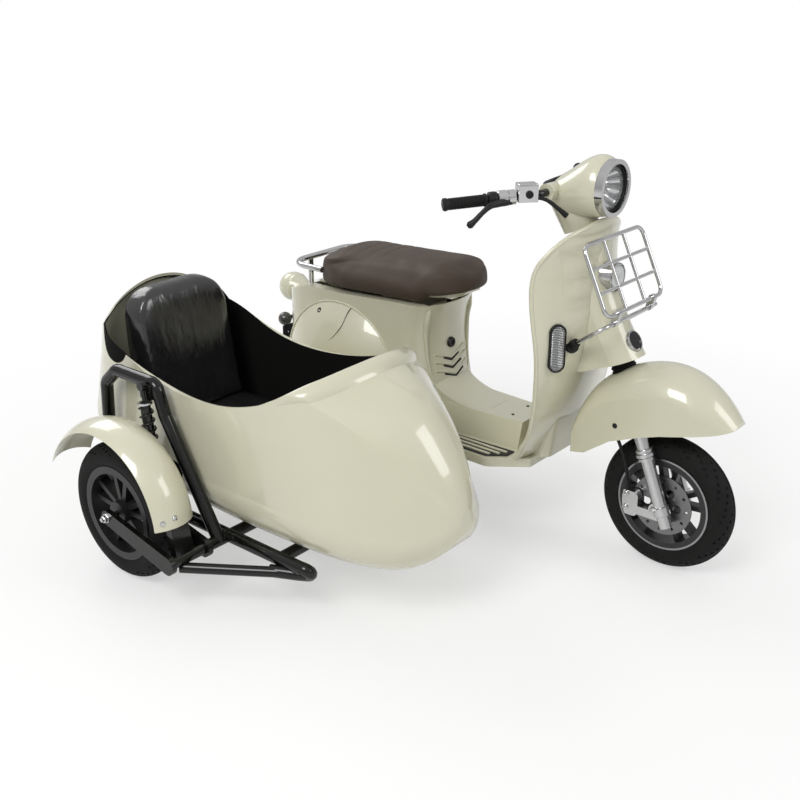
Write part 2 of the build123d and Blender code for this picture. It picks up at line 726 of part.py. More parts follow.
with BuildPart() as sidecar_body:
    add(tub_skin(0, TUB))
    add(tub_skin(CAR_WALL, TUB[1:8]), mode=Mode.SUBTRACT)
    add(cockpit.part, mode=Mode.SUBTRACT)
save(sidecar_body, "sidecar_body")

with BuildPart() as sidecar_liner:
    add(tub_skin(CAR_WALL + FIT, TUB[1:8]))
    add(tub_skin(CAR_WALL + FIT + LINER, TUB[1:8]), mode=Mode.SUBTRACT)
    add(cockpit.part, mode=Mode.SUBTRACT)
save(sidecar_liner, "sidecar_liner")

# Sidecar seat: cushion on the floor and a reclined back standing on it.
CUSHION_TOP = 350.0
BACK_TOP = 756.0
with BuildPart() as sidecar_cushion:
    with Locations((FX - 1180, SY + CAR_MID, 140)):
        Box(540, 420, CUSHION_TOP - 140, align=UP)
    add(tub_skin(CAR_WALL + LINER + 2 * FIT, TUB[1:8]), mode=Mode.INTERSECT)
save(sidecar_cushion, "sidecar_cushion")

with BuildPart() as sidecar_backrest:
    with BuildSketch(side(CAR_MID)):
        with BuildLine():
            Polyline(
                (-1430, CUSHION_TOP), (-1290, CUSHION_TOP), (-1362, BACK_TOP - 20), (-1382, BACK_TOP),
                (-1435, BACK_TOP), (-1450, BACK_TOP - 20), close=True,
            )
        make_face()
    extrude(amount=205, both=True)
    with BuildSketch(cross(-1600, CAR_MID)):
        with BuildLine():
            Polyline((-180, BACK_TOP - 110), (-180, 300), (180, 300), (180, BACK_TOP - 110))
            ThreePointArc((180, BACK_TOP - 110), (148, BACK_TOP - 28), (80, BACK_TOP))
            Line((80, BACK_TOP), (-80, BACK_TOP))
            ThreePointArc((-80, BACK_TOP), (-148, BACK_TOP - 28), (-180, BACK_TOP - 110))
        make_face()
    extrude(amount=400, mode=Mode.INTERSECT)
save(sidecar_backrest, "sidecar_backrest")

# Sidecar mudguard: a crowned strip turned about a point just behind the axle.
MUD_R = 264.0
MUD_HALF = 65.0
MUD_CROWN = 24.0
MUD_WALL = 3.0
MUD_FROM = 5.0
MUD_ARC = 152.0
mud_y = OUTER_Y + MUD_HALF
mud_at = (FX + CAR_X - 15, SY + mud_y, TYRE_R + 12)
ca, sa = cos(radians(MUD_FROM)), sin(radians(MUD_FROM))


def mud_ring(grow, line=0.0):
    """The mudguard's crowned section turned through its arc, thicker outward by grow and inward by line."""
    with BuildPart() as ring:
        with BuildSketch(Plane(origin=mud_at, x_dir=(ca, 0, sa), z_dir=(-sa, 0, ca))):
            with BuildLine():
                r, low, w = MUD_R + grow, MUD_R - MUD_WALL - line, MUD_HALF
                ThreePointArc((r - MUD_CROWN, -w), (r, 0), (r - MUD_CROWN, w))
                Line((r - MUD_CROWN, w), (low - MUD_CROWN, w))
                ThreePointArc((low - MUD_CROWN, w), (low, 0), (low - MUD_CROWN, -w))
                Line((low - MUD_CROWN, -w), (r - MUD_CROWN, -w))
            make_face()
        revolve(axis=Axis(mud_at, (0, -1, 0)), revolution_arc=MUD_ARC)
    return ring.part


with BuildPart() as sidecar_mudguard:
    add(mud_ring(0))
save(sidecar_mudguard, "sidecar_mudguard")

# Stay of the sidecar mudguard: a plate from the cross tube up to its front end.
with BuildPart() as mudguard_stay:
    with BuildSketch(side(mud_y + 30)):
        with BuildLine():
            Polyline((CROSS_X - 12, RAIL_Z), (CROSS_X + 12, RAIL_Z), (-922, 275), (-945, 275), close=True)
        make_face()
    extrude(amount=60)
    add(mud_ring(60, FIT), mode=Mode.SUBTRACT)
    with BuildSketch(Plane(origin=mud_at, x_dir=(1, 0, 0), z_dir=(0, -1, 0))):
        Circle(MUD_R - 34)
    extrude(amount=100, both=True, mode=Mode.SUBTRACT)
    with BuildSketch(Plane(origin=(FX + CROSS_X, SY, RAIL_Z), z_dir=(0, -1, 0))):
        Circle(CROSS_R + FIT)
    extrude(amount=1500, mode=Mode.SUBTRACT)
save(mudguard_stay, "mudguard_stay")

# Sidecar swing arm: a plate each side of the wheel, from the cross tube to the axle.
ARM_IN = -TRACK + TYRE_HALF + 22
with BuildPart() as sidecar_arm:
    for y in (ARM_Y, ARM_IN):
        with BuildSketch(side(y)):
            with Locations((CROSS_X, RAIL_Z)):
                Circle(27)
            with Locations((CAR_X, TYRE_R)):
                Circle(22)
            make_hull()
            with Locations((CROSS_X, RAIL_Z)):
                Circle(CROSS_R + FIT, mode=Mode.SUBTRACT)
        extrude(amount=8, both=True)
    with BuildSketch(side(ARM_IN)):
        with Locations((CAR_X, TYRE_R)):
            Circle(AXLE_R)
    extrude(amount=ARM_IN - ARM_Y)
save(sidecar_arm, "sidecar_arm")

# Rear swing arm: two plates from the frame's pivot to the motor axle and the shock feet.
SWING_Y = 58.0
SHOCK_X = REAR_X - 44.0
SHOCK_LOW = 222.0
SHOCK_HIGH = 577.0
with BuildPart() as swing_arm:
    for y in (-SWING_Y, SWING_Y):
        with BuildSketch(side(y)):
            for x, z, r in ((PIVOT_X, PIVOT_Z, 22), (REAR_X, TYRE_R, 24), (SHOCK_X, SHOCK_LOW, 18)):
                with Locations((x, z)):
                    Circle(r)
            make_hull()
            with Locations((PIVOT_X, PIVOT_Z)):
                Circle(PIVOT_R + FIT, mode=Mode.SUBTRACT)
        extrude(amount=8, both=True)
    with BuildSketch(side(SWING_Y)):
        with Locations((REAR_X, TYRE_R)):
            Circle(AXLE_R)
    extrude(amount=2 * SWING_Y)
    with Locations((FX + PIVOT_X - 60, SY, PIVOT_Z - 4)):
        Box(24, 2 * SWING_Y, 24)
save(swing_arm, "swing_arm")

# Shocks: eye, damper, spring sleeve and eye; the pair at the rear wheel and one at the sidecar wheel.
eye = RAIL_Y - 10 - SWING_Y - 8
shock_y = SWING_Y + 8 + eye / 2
car_eye = 16.0
SHOCKS = (
    # name, low x, low z, high x, high z, y, eye length
    ("shock_left", SHOCK_X, SHOCK_LOW, SHOCK_X, SHOCK_HIGH, shock_y, eye),
    ("shock_right", SHOCK_X, SHOCK_LOW, SHOCK_X, SHOCK_HIGH, -shock_y, eye),
    ("sidecar_shock", CAR_X + 60, 200.0, CAR_X + 10, 560.0, ARM_IN + 8 + car_eye / 2, car_eye),
)
for name, x0, z0, x1, z1, y, wide in SHOCKS:
    run = hypot(x1 - x0, z1 - z0)
    with BuildPart() as shock:
        for x, z in ((x0, z0), (x1, z1)):
            with BuildSketch(side(y)):
                with Locations((x, z)):
                    Circle(13)
            extrude(amount=wide / 2, both=True)
        line = Plane(origin=(FX + x0, SY + y, z0), z_dir=(x1 - x0, 0, z1 - z0))
        with BuildSketch(line):
            Circle(6)
        extrude(amount=run)
        with BuildSketch(line.offset(45)):
            Circle(15)
        extrude(amount=run - 90)
    save(shock, name)

# Tail lamp: a bullet housing on the flat end of the rear body.
LAMP_Z = 565.0
LAMP_R = 50.0
lens_x = BODY_END - 52
lens_out, lens_rise = cap_mid(LAMP_R, lens_x - TAIL_X)
with BuildPart() as tail_lamp:
    with BuildSketch(side()):
        with BuildLine():
            Polyline(
                (TAIL_X, LAMP_Z), (BODY_END, LAMP_Z), (BODY_END, LAMP_Z + 28), (BODY_END - 44, LAMP_Z + LAMP_R),
                (lens_x, LAMP_Z + LAMP_R),
            )
            ThreePointArc((lens_x, LAMP_Z + LAMP_R), (lens_x - lens_out, LAMP_Z + lens_rise), (TAIL_X, LAMP_Z))
        make_face()
    revolve(axis=Axis((FX, SY, LAMP_Z), (1, 0, 0)))
save(tail_lamp, "tail_lamp")

# Number-plate carrier: an arm off the tail with a blank plate on two bolt holes.
PLATE_HOLES = 150.0
PLATE_HOLE_R = 3.25
with BuildPart() as plate_carrier:
    with Locations((FX + BODY_END - 12, SY, 446)):
        Box(24, 60, 46, align=UP)
    with Locations((FX + BODY_END - 26, SY, 300)):
        Box(4, 200, 148, align=UP)
    with BuildSketch(cross(BODY_END - 20)):
        with Locations((-PLATE_HOLES / 2, 420), (PLATE_HOLES / 2, 420)):
            Circle(PLATE_HOLE_R)
    extrude(amount=-12, mode=Mode.SUBTRACT)
save(plate_carrier, "plate_carrier")

for name, hand in (("left", 1), ("right", -1)):
    with BuildPart() as indicator:
        with BuildSketch(side(hand * 30)):
            with Locations((BODY_END - 12, 478)):
                Circle(7)
        extrude(amount=-hand * 60)
        with Locations((FX + BODY_END - 14, SY + hand * 100, 478)):
            Sphere(24)
    save(indicator, "rear_indicator_" + name)

# Grab rail: a bent tube behind the seat on two feet.
with BuildPart() as grab_rail:
    with BuildLine(level(712)) as bow:
        FilletPolyline((-1215, -158), (-1362, -158), (-1362, 158), (-1215, 158), radius=70)
    with BuildSketch(Plane(bow.line @ 0, z_dir=bow.line % 0)):
        Circle(10)
    sweep(path=bow.line)
    for y in (-60, 60):
        with Locations((FX - 1362, SY + y, TAIL_Z)):
            Cylinder(9, 712 - TAIL_Z, align=UP)
    with BuildSketch(side()):
        with BuildLine():
            Polyline((DECK_X, DECK_Z), (BODY_END, TAIL_Z), (BODY_END, 500), (DECK_X, 500), close=True)
        make_face()
    extrude(amount=100, both=True, mode=Mode.SUBTRACT)
save(grab_rail, "grab_rail")

# Headlight cowl and neck: one turned-looking shell on the steering column.
LIGHT_Z = 1083.0
LIGHT_FRONT = -262.0
COWL = (
    # x, half width, underside, top
    (LIGHT_FRONT, 80.0, LIGHT_Z - 80.0, LIGHT_Z + 80.0),
    (-300.0, 86.0, 994.0, HEIGHT),
    (-345.0, 82.0, 992.0, 1146.0),
    (-395.0, 70.0, 998.0, 1112.0),
    (-440.0, 50.0, 1014.0, 1086.0),
)
BAR_X = -398.0
BAR_Z = 1068.0
BAR_R = 11.0
with BuildPart() as headlight_cowl:
    for x, half, low, top in COWL:
        with BuildSketch(cross(x)):
            with Locations((0, (low + top) / 2)):
                Ellipse(half, (top - low) / 2)
    loft()
    for s, n0, rx, ry in ((814.0, -12.0, 54.0, 44.0), (900.0, -16.0, 66.0, 52.0)):
        with BuildSketch(STEER.offset(s)):
            with Locations((n0, 0)):
                Ellipse(rx, ry)
    loft()
    with BuildSketch(side(105)):
        with Locations((BAR_X, BAR_Z)):
            Circle(24)
    extrude(amount=210)
    with BuildSketch(side(130)):
        with Locations((BAR_X, BAR_Z)):
            Circle(BAR_R + FIT)
    extrude(amount=260, mode=Mode.SUBTRACT)
    with BuildSketch(STEER.offset(780)):
        Circle(STEM_R + FIT)
    extrude(amount=STEM_HIGH - 780, mode=Mode.SUBTRACT)
    with BuildSketch(cross(LIGHT_FRONT)):
        with Locations((0, LIGHT_Z)):
            Circle(62)
    extrude(amount=-40, mode=Mode.SUBTRACT)
save(headlight_cowl, "headlight_cowl")

with BuildPart() as headlight_ring:
    with BuildSketch(cross(LIGHT_FRONT)):
        with Locations((0, LIGHT_Z)):
            Circle(80)
            Circle(67, mode=Mode.SUBTRACT)
    extrude(amount=24)
save(headlight_ring, "headlight_ring")

LENS_R = 67.0 - FIT
glass_out, glass_rise = cap_mid(LENS_R, 10)
with BuildPart() as headlight_lens:
    with BuildSketch(side()):
        with BuildLine():
            Polyline(
                (LIGHT_FRONT + 18, LIGHT_Z), (LIGHT_FRONT, LIGHT_Z), (LIGHT_FRONT, LIGHT_Z + LENS_R),
                (LIGHT_FRONT + 8, LIGHT_Z + LENS_R),
            )
            ThreePointArc(
                (LIGHT_FRONT + 8, LIGHT_Z + LENS_R), (LIGHT_FRONT + 8 + glass_out, LIGHT_Z + glass_rise),
                (LIGHT_FRONT + 18, LIGHT_Z),
            )
        make_face()
    revolve(axis=Axis((FX, SY, LIGHT_Z), (1, 0, 0)))
save(headlight_lens, "headlight_lens")

# Handlebar: one swept tube with its ends drawn back, then grips, levers and clamps.
SWEEP = 38.0
DROP = 6.0
GRIP_R = 16.5
GRIP_LONG = 122.0
END_Y = BAR_HALF - GRIP_R * sin(radians(SWEEP)) - 4
KINK_Y = 128.0
slope = Vector(-cos(radians(DROP)), 0, -sin(radians(DROP)))
reach = (END_Y - KINK_Y) * tan(radians(SWEEP))
BARS = Plane(origin=(FX + BAR_X, SY, BAR_Z), x_dir=(0, 1, 0), z_dir=Vector(0, 1, 0).cross(slope))
with BuildPart() as handlebar:
    with BuildLine(BARS) as bar_path:
        FilletPolyline((-END_Y, reach), (-KINK_Y, 0), (KINK_Y, 0), (END_Y, reach), radius=40)
    with BuildSketch(Plane(bar_path.line @ 0, z_dir=bar_path.line % 0)):
        Circle(BAR_R)
    sweep(path=bar_path.line)
save(handlebar, "handlebar")

for name, hand in (("left", 1), ("right", -1)):
    tip = BARS.from_local_coords(Vector(hand * END_Y, reach, 0))
    root = BARS.from_local_coords(Vector(hand * KINK_Y, 0, 0))
    out = (tip - root).normalized()
    ahead = (Vector(1, 0, 0) - out * out.X).normalized()
    grip_at = Plane(origin=tip, x_dir=ahead, z_dir=out)
    with BuildPart(grip_at) as grip:
        with Locations((0, 0, 4 - GRIP_LONG)):
            Cylinder(GRIP_R, GRIP_LONG, align=UP)
            Cylinder(BAR_R + FIT, GRIP_LONG - 4, align=UP, mode=Mode.SUBTRACT)
    save(grip, "grip_" + name)

    with BuildPart(grip_at) as lever:
        with Locations((6, 0, -GRIP_LONG - 46)):
            Box(50, 36, 40, align=UP)
        with Locations((22, -hand * 26, -GRIP_LONG - 42)):
            Box(44, 34, 32, align=UP)
        with BuildLine(Plane(origin=tip, x_dir=ahead, z_dir=ahead.cross(out))) as blade:
            FilletPolyline((24, -GRIP_LONG - 20), (52, -GRIP_LONG + 4), (56, -GRIP_LONG / 2), radius=14)
        with BuildSketch(Plane(blade.line @ 0, z_dir=blade.line % 0)):
            Circle(6)
        sweep(path=blade.line)
        with Locations((0, 0, -GRIP_LONG - 60)):
            Cylinder(BAR_R + FIT, 80, align=UP, mode=Mode.SUBTRACT)
    save(lever, "lever_" + name)

# Front carrier: a stay bar across the shield and a barred frame that folds down about its lower bar.
RACK_X = -152.0
RACK_Z = 765.0
RACK_TILT = 25.0
RACK_HALF = 160.0
RACK_TALL = 205.0
ROD_R = 6.0
STAY_X = -160.0
STAY_Z = 735.0
up = (-sin(radians(RACK_TILT)), 0, cos(radians(RACK_TILT)))
RACK = Plane(origin=(FX + RACK_X, SY, RACK_Z), x_dir=(0, 1, 0), z_dir=Vector(0, 1, 0).cross(Vector(*up)))
with BuildPart() as rack_frame:
    with BuildLine(RACK) as loop:
        FilletPolyline(
            (-RACK_HALF, 0), (-RACK_HALF, RACK_TALL), (RACK_HALF, RACK_TALL), (RACK_HALF, 0),
            radius=28, close=True,
        )
    with BuildSketch(Plane(loop.line @ 0, z_dir=loop.line % 0)):
        Circle(ROD_R)
    sweep(path=loop.line)
    for t in (RACK_TALL / 3, 2 * RACK_TALL / 3):
        with BuildSketch(Plane(origin=RACK.from_local_coords(Vector(-RACK_HALF, t, 0)), z_dir=(0, 1, 0))):
            Circle(ROD_R - 1)
        extrude(amount=2 * RACK_HALF)
    for y in (-RACK_HALF / 3, RACK_HALF / 3):
        with BuildSketch(Plane(origin=RACK.from_local_coords(Vector(y, 0, 0)), z_dir=up)):
            Circle(ROD_R - 1)
        extrude(amount=RACK_TALL)
save(rack_frame, "rack_frame")

foot = Vector(-125, 0, -90).normalized()
STAY = Plane(origin=(FX + STAY_X, SY, STAY_Z), x_dir=(0, 1, 0), z_dir=Vector(0, 1, 0).cross(foot))
with BuildPart() as rack_stay:
    with BuildLine(STAY) as bar:
        FilletPolyline((-112, 175), (-170, 0), (170, 0), (112, 175), radius=30)
    with BuildSketch(Plane(bar.line @ 0, z_dir=bar.line % 0)):
        Circle(ROD_R)
    sweep(path=bar.line)
    for y in (-100, 100):
        with BuildSketch(side(y)):
            for x, z, r in ((STAY_X, STAY_Z, 9), (RACK_X, RACK_Z, 10)):
                with Locations((x, z)):
                    Circle(r)
            make_hull()
            with Locations((RACK_X, RACK_Z)):
                Circle(ROD_R + RUN, mode=Mode.SUBTRACT)
        extrude(amount=8, both=True)
    for at, way in ((bar.line @ 0, bar.line % 0), (bar.line @ 1, bar.line % 1 * -1)):
        with BuildSketch(Plane(at, z_dir=way)):
            Circle(15)
        extrude(amount=36)
    add(shield_stack(FIT, 400), mode=Mode.SUBTRACT)
save(rack_stay, "rack_stay")

# Turn lamps: upright slots on the shield's wings.
for name, hand in (("left", 1), ("right", -1)):
    lamp_at = Plane(origin=(FX - 300, SY + hand * 168, 650), x_dir=(0, 0, 1), z_dir=(0.82, hand * 0.57, 0))
    with BuildPart() as turn_lamp:
        with BuildSketch(lamp_at):
            SlotOverall(140, 48)
        extrude(amount=14)
        with BuildSketch(lamp_at):
            SlotOverall(140, 48)
        extrude(amount=-30)
        add(shield_stack(FIT, 400), mode=Mode.SUBTRACT)
    save(turn_lamp, "turn_lamp_" + name)

# Spot lamp on the nose behind the carrier.
with BuildPart() as spot_lamp:
    with BuildSketch(cross(-217)):
        with Locations((0, 835)):
            Circle(42)
    extrude(amount=-36)
    add(cover_skin(-FIT), mode=Mode.SUBTRACT)
save(spot_lamp, "spot_lamp")
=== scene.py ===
from math import atan2, copysign, cos, hypot, pi, radians, sin

import bpy
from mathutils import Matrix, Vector


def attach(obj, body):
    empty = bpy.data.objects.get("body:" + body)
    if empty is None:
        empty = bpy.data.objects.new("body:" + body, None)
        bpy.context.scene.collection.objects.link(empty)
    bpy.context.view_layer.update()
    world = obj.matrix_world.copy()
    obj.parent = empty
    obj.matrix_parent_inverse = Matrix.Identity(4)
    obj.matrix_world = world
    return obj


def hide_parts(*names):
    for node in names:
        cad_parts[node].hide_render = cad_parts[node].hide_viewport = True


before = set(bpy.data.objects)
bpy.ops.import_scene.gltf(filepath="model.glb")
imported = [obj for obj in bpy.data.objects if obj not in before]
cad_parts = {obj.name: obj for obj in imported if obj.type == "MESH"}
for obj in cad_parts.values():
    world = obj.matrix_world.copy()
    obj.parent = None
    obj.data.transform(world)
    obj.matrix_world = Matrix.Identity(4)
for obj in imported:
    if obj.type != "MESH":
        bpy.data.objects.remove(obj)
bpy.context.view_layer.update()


# Studio: a plain pale floor under soft light from three broad panels and a bright ceiling.
# The camera stands off the front corner on the sidecar's side, a little above the handlebars.
class Shade:
    """A socket in a shader tree. Sums, products, comparisons and the like add their Math nodes."""

    def __init__(self, tree, socket):
        self.tree = tree
        self.socket = socket

    def node(self, kind, settings, sockets, out=0):
        made = self.tree.nodes.new("ShaderNode" + kind)
        for key, value in settings.items():
            if key == "stops":
                ramp = made.color_ramp.elements
                ramp.remove(ramp[1])
                ramp[0].position, ramp[0].color = value[0][0], (*value[0][1], 1.0)
                for place, colour in value[1:]:
                    ramp.new(place).color = (*colour, 1.0)
            else:
                setattr(made, key, value)
        for key, value in sockets.items():
            if isinstance(value, Shade):
                self.tree.links.new(value.socket, made.inputs[key])
            else:
                made.inputs[key].default_value = value
        return Shade(self.tree, made.outputs[out] if made.outputs else None)

    def maths(self, operation, a, b=0.5):
        return self.node("Math", {"operation": operation}, {0: a, 1: b})

    def __add__(self, other):
        return self.maths("ADD", self, other)

    def __radd__(self, other):
        return self.maths("ADD", other, self)

    def __rsub__(self, other):
        return self.maths("SUBTRACT", other, self)

    def __mul__(self, other):
        return self.maths("MULTIPLY", self, other)

    def __rmul__(self, other):
        return self.maths("MULTIPLY", other, self)

    def __truediv__(self, other):
        return self.maths("DIVIDE", self, other)

    def __gt__(self, other):
        return self.maths("GREATER_THAN", self, other)

    def __lt__(self, other):
        return self.maths("LESS_THAN", self, other)


def blank(name):
    """An empty material and the Object coordinates its pattern starts from."""
    made = bpy.data.materials.new(name)
    made.use_nodes = True
    made.node_tree.nodes.clear()
    start = made.node_tree.nodes.new("ShaderNodeTexCoord")
    return made, Shade(made.node_tree, start.outputs["Object"])


def surface(place, sockets):
    """Ends a material in one Principled shader with these sockets."""
    shader = place.node("BsdfPrincipled", {}, sockets)
    place.node("OutputMaterial", {}, {"Surface": shader})


def coordinate(place, axis):
    """One coordinate of a place: 0 forward, 1 left, 2 up."""
    return place.node("SeparateXYZ", {}, {0: place}, axis)


def noise(place, scale, detail=2.0, rough=0.5):
    """Even noise from 0 to 1, with this many grains to the metre."""
    return place.node("TexNoise", {}, {"Vector": place, "Scale": scale, "Detail": detail, "Roughness": rough})


def blend(place, share, first, second):
    """Mixes two colours by a share that changes over the surface."""
    first = first if isinstance(first, Shade) else (*first, 1.0)
    second = second if isinstance(second, Shade) else (*second, 1.0)
    return place.node("Mix", {"data_type": "RGBA"}, {0: share, 6: first, 7: second}, 2)


def relief(place, height, strength, distance):
    """A normal bent by a height that changes over the surface."""
    return place.node("Bump", {}, {"Height": height, "Strength": strength, "Distance": distance})


def plain_white(place):
    """The share of plain white a ray sees: all of it straight or through glass, half in a reflection."""
    by_camera, by_gloss, through = (place.node("LightPath", {}, {}, out) for out in (0, 3, 6))
    return by_camera + through + 0.5 * by_gloss


def begin(add, **sizes):
    """Adds one primitive with nothing else selected and puts its place into its mesh."""
    bpy.ops.object.select_all(action="DESELECT")
    add(**sizes)
    bpy.ops.object.transform_apply(location=True, rotation=True, scale=True)
    return bpy.context.object


floor = begin(bpy.ops.mesh.primitive_plane_add, size=400.0, location=(0.0, 0.0, -0.0005))
floor.name = "studio_floor"
pale, place = blank("studio_floor")
far = place.node("VectorMath", {"operation": "LENGTH"}, {0: place}, 1)
fade = place.node("ValToRGB", {"stops": (
    (0.09, (0.52, 0.52, 0.52)), (0.24, (1.0, 1.0, 1.0)),
)}, {0: far / 10.0})
seen = plain_white(place)
matt = place.node("BsdfPrincipled", {}, {
    "Base Color": blend(place, noise(place, 0.7), (0.90, 0.90, 0.89), (0.93, 0.93, 0.92)),
    "Roughness": 0.55 + 0.1 * noise(place, 9.0), "Specular IOR Level": 0.2,
})
white = place.node("Emission", {}, {"Color": (1.0, 1.0, 1.0, 1.0), "Strength": 1.0})
place.node(
    "OutputMaterial", {}, {"Surface": place.node("MixShader", {}, {0: seen * fade, 1: matt, 2: white})},
)
floor.data.materials.append(pale)

world = bpy.data.worlds.new("studio")
bpy.context.scene.world = world
world.use_nodes = True
world.node_tree.nodes.clear()
sky = Shade(world.node_tree, world.node_tree.nodes.new("ShaderNodeTexCoord").outputs["Generated"])
height = coordinate(sky, 2)
glow = sky.node("ValToRGB", {"stops": (
    (0.0, (0.30, 0.30, 0.30)), (0.50, (0.05, 0.05, 0.055)),
    (0.62, (0.16, 0.16, 0.17)), (0.88, (0.55, 0.55, 0.55)),
)}, {0: height * 0.5 + 0.5})
seen = plain_white(sky)
lit = sky.node("Mix", {"data_type": "RGBA"}, {0: seen, 6: glow, 7: (1.0, 1.0, 1.0, 1.0)}, 2)
sky.node("OutputWorld", {}, {"Surface": sky.node("Background", {}, {"Color": lit, "Strength": 1.0})})

middle = Vector((0.0, -0.1, 0.55))
for name, spot, size, power in (
    ("key_panel", (0.6, -4.4, 4.8), 2.6, 196.0),
    ("front_panel", (4.8, 1.4, 3.4), 2.4, 75.0),
    ("rear_panel", (-4.4, 0.6, 3.8), 2.6, 80.0),
):
    bpy.ops.object.light_add(type="AREA", location=spot)
    lamp = bpy.context.object
    lamp.name = name
    lamp.data.size = size
    lamp.data.energy = power
    lamp.rotation_euler = (middle - Vector(spot)).to_track_quat("-Z", "Y").to_euler()

camera_spot = (1.92915, -2.33366, 1.69928)
tilt, heading = 21.16, 39.88
bpy.ops.object.camera_add(location=camera_spot, rotation=(radians(90 - tilt), 0, radians(heading)))
camera = bpy.context.object
camera.data.sensor_width = 36.0
camera.data.lens = 49.98
camera.data.shift_y = -0.0275
bpy.context.scene.camera = camera
bpy.context.scene.view_settings.view_transform = "Standard"


# Painted body panels: sheet steel and moulded plastic in one warm cream gloss under a clear coat,
# with the faint orange peel and the drift in tint of sprayed paint. Each panel is its own node.
axle_x, centre_y = 0.679, 0.375


def at(x, y, z):
    """A place on the vehicle in mm from the ground under the front axle: forward, left and up."""
    return Vector((axle_x + x / 1000, centre_y + y / 1000, z / 1000))


def paint(nodes, material):
    """Gives solids that are shown as they are their one material."""
    for name in nodes:
        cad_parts[name].data.materials.clear()
        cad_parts[name].data.materials.append(material)


cream, place = blank("cream_gloss")
drift = noise(place, 2.6, 3.0)
haze = noise(place, 30.0, 8.0, 0.7)
surface(place, {
    "Base Color": blend(place, drift, (0.590, 0.575, 0.430), (0.640, 0.625, 0.475)),
    "Roughness": 0.26 + 0.12 * haze, "Coat Weight": 1.0, "Coat Roughness": 0.025,
    "Normal": relief(place, noise(place, 190.0), 0.035, 0.0006),
})
paint((
    "front_mudguard", "leg_shield", "horn_cover", "floor_pan", "rear_body", "cowl_left", "cowl_right",
    "sidecar_body", "sidecar_mudguard", "headlight_cowl", "seat_pan",
), cream)

# Chassis steel: the main frame, the sidecar's frame, the arms and the spring legs, of tube, box rail
# and plate, welded up and sprayed gloss black, a little dusty in places.
enamel, place = blank("black_enamel")
grime = noise(place, 14.0, 6.0, 0.65)
surface(place, {
    "Base Color": blend(place, grime, (0.003, 0.003, 0.003), (0.008, 0.008, 0.007)),
    "Roughness": 0.05 + 0.08 * grime, "Specular IOR Level": 0.4,
    "Normal": relief(place, noise(place, 150.0), 0.05, 0.0006),
})
paint((
    "main_frame", "head_tube", "seat_hinge", "sidecar_frame", "mudguard_stay", "sidecar_arm", "swing_arm",
    "shock_left", "shock_right", "sidecar_shock", "handlebar",
), enamel)


# Bright work: the carrier, its stay, the grab rail and the headlight's ring, of steel rod and strip, bent,
# welded, polished and plated, with fine polishing marks.
def streaks(place, scale, detail):
    """Noise with its own number of grains to the metre along each axis."""
    drawn = place.node("Mapping", {}, {"Vector": place, "Scale": scale})
    return place.node("TexNoise", {}, {"Vector": drawn, "Scale": 1.0, "Detail": detail})


chrome, place = blank("bright_plate")
marks = streaks(place, (40.0, 900.0, 900.0), 2.0)
surface(place, {
    "Base Color": blend(place, noise(place, 24.0, 4.0), (0.44, 0.44, 0.45), (0.58, 0.58, 0.58)),
    "Metallic": 1.0, "Roughness": 0.05 + 0.07 * marks,
    "Normal": relief(place, noise(place, 60.0), 0.02, 0.0006),
})
paint(("grab_rail", "headlight_ring", "rack_frame", "rack_stay", "spot_lamp"), chrome)

# Fork and caliper: cast and turned alloy, grained by the casting and brushed bright,
# the legs clamped in the yoke and the caliper bolted to the right one.
alloy, place = blank("silver_alloy")
grain = noise(place, 420.0, 3.0)
brushed = streaks(place, (500.0, 500.0, 30.0), 3.0)
surface(place, {
    "Base Color": blend(place, brushed, (0.52, 0.52, 0.53), (0.60, 0.60, 0.60)), "Metallic": 1.0,
    "Roughness": 0.22 + 0.08 * brushed, "Normal": relief(place, grain, 0.02, 0.0002),
})
paint(("fork", "caliper"), alloy)


# Brake disc: drilled steel plate, ground in circles on both faces and darkened by heat,
# bolted to the front hub.
def from_axle(place, hub):
    """How far a place lies from a wheel's axle, whatever its side."""
    off = place.node("VectorMath", {"operation": "SUBTRACT"}, {0: place, 1: hub})
    upright = place.node("VectorMath", {"operation": "MULTIPLY"}, {0: off, 1: (1.0, 0.0, 1.0)})
    return place.node("VectorMath", {"operation": "LENGTH"}, {0: upright}, 1)


axle_up = 204
disc, place = blank("ground_steel")
reach = from_axle(place, at(0, 0, axle_up))
rings = place.node("TexNoise", {"noise_dimensions": "1D"}, {"W": reach * 900.0, "Detail": 2.0})
surface(place, {
    "Base Color": blend(place, rings, (0.10, 0.10, 0.105), (0.30, 0.30, 0.30)), "Metallic": 1.0,
    "Roughness": 0.22 + 0.18 * rings, "Normal": relief(place, rings, 0.12, 0.0003),
})
paint(("brake_disc",), disc)

# Plate carrier: black plastic, moulded with a fine spark grain and bolted behind the rear wheel.
# The same plastic makes the small fittings further on.
plastic, place = blank("black_plastic")
spark = noise(place, 900.0, 2.0)
surface(place, {
    "Base Color": blend(place, noise(place, 20.0, 4.0), (0.007, 0.007, 0.0075), (0.017, 0.017, 0.018)),
    "Roughness": 0.36 + 0.16 * spark, "Specular IOR Level": 0.25,
    "Normal": relief(place, spark, 0.16, 0.0003),
})
paint(("plate_carrier",), plastic)

# Battery: a closed case of matt dark plastic with a ribbed skin,
# standing on the floor of the bay under the seat.
case, place = blank("battery_case")
rib = place.maths("SINE", coordinate(place, 2) * 520.0)
surface(place, {
    "Base Color": blend(place, noise(place, 16.0, 4.0), (0.030, 0.031, 0.034), (0.045, 0.046, 0.050)),
    "Roughness": 0.55 + 0.12 * noise(place, 300.0), "Normal": relief(place, rib, 0.35, 0.001),
})
paint(("battery_pack",), case)

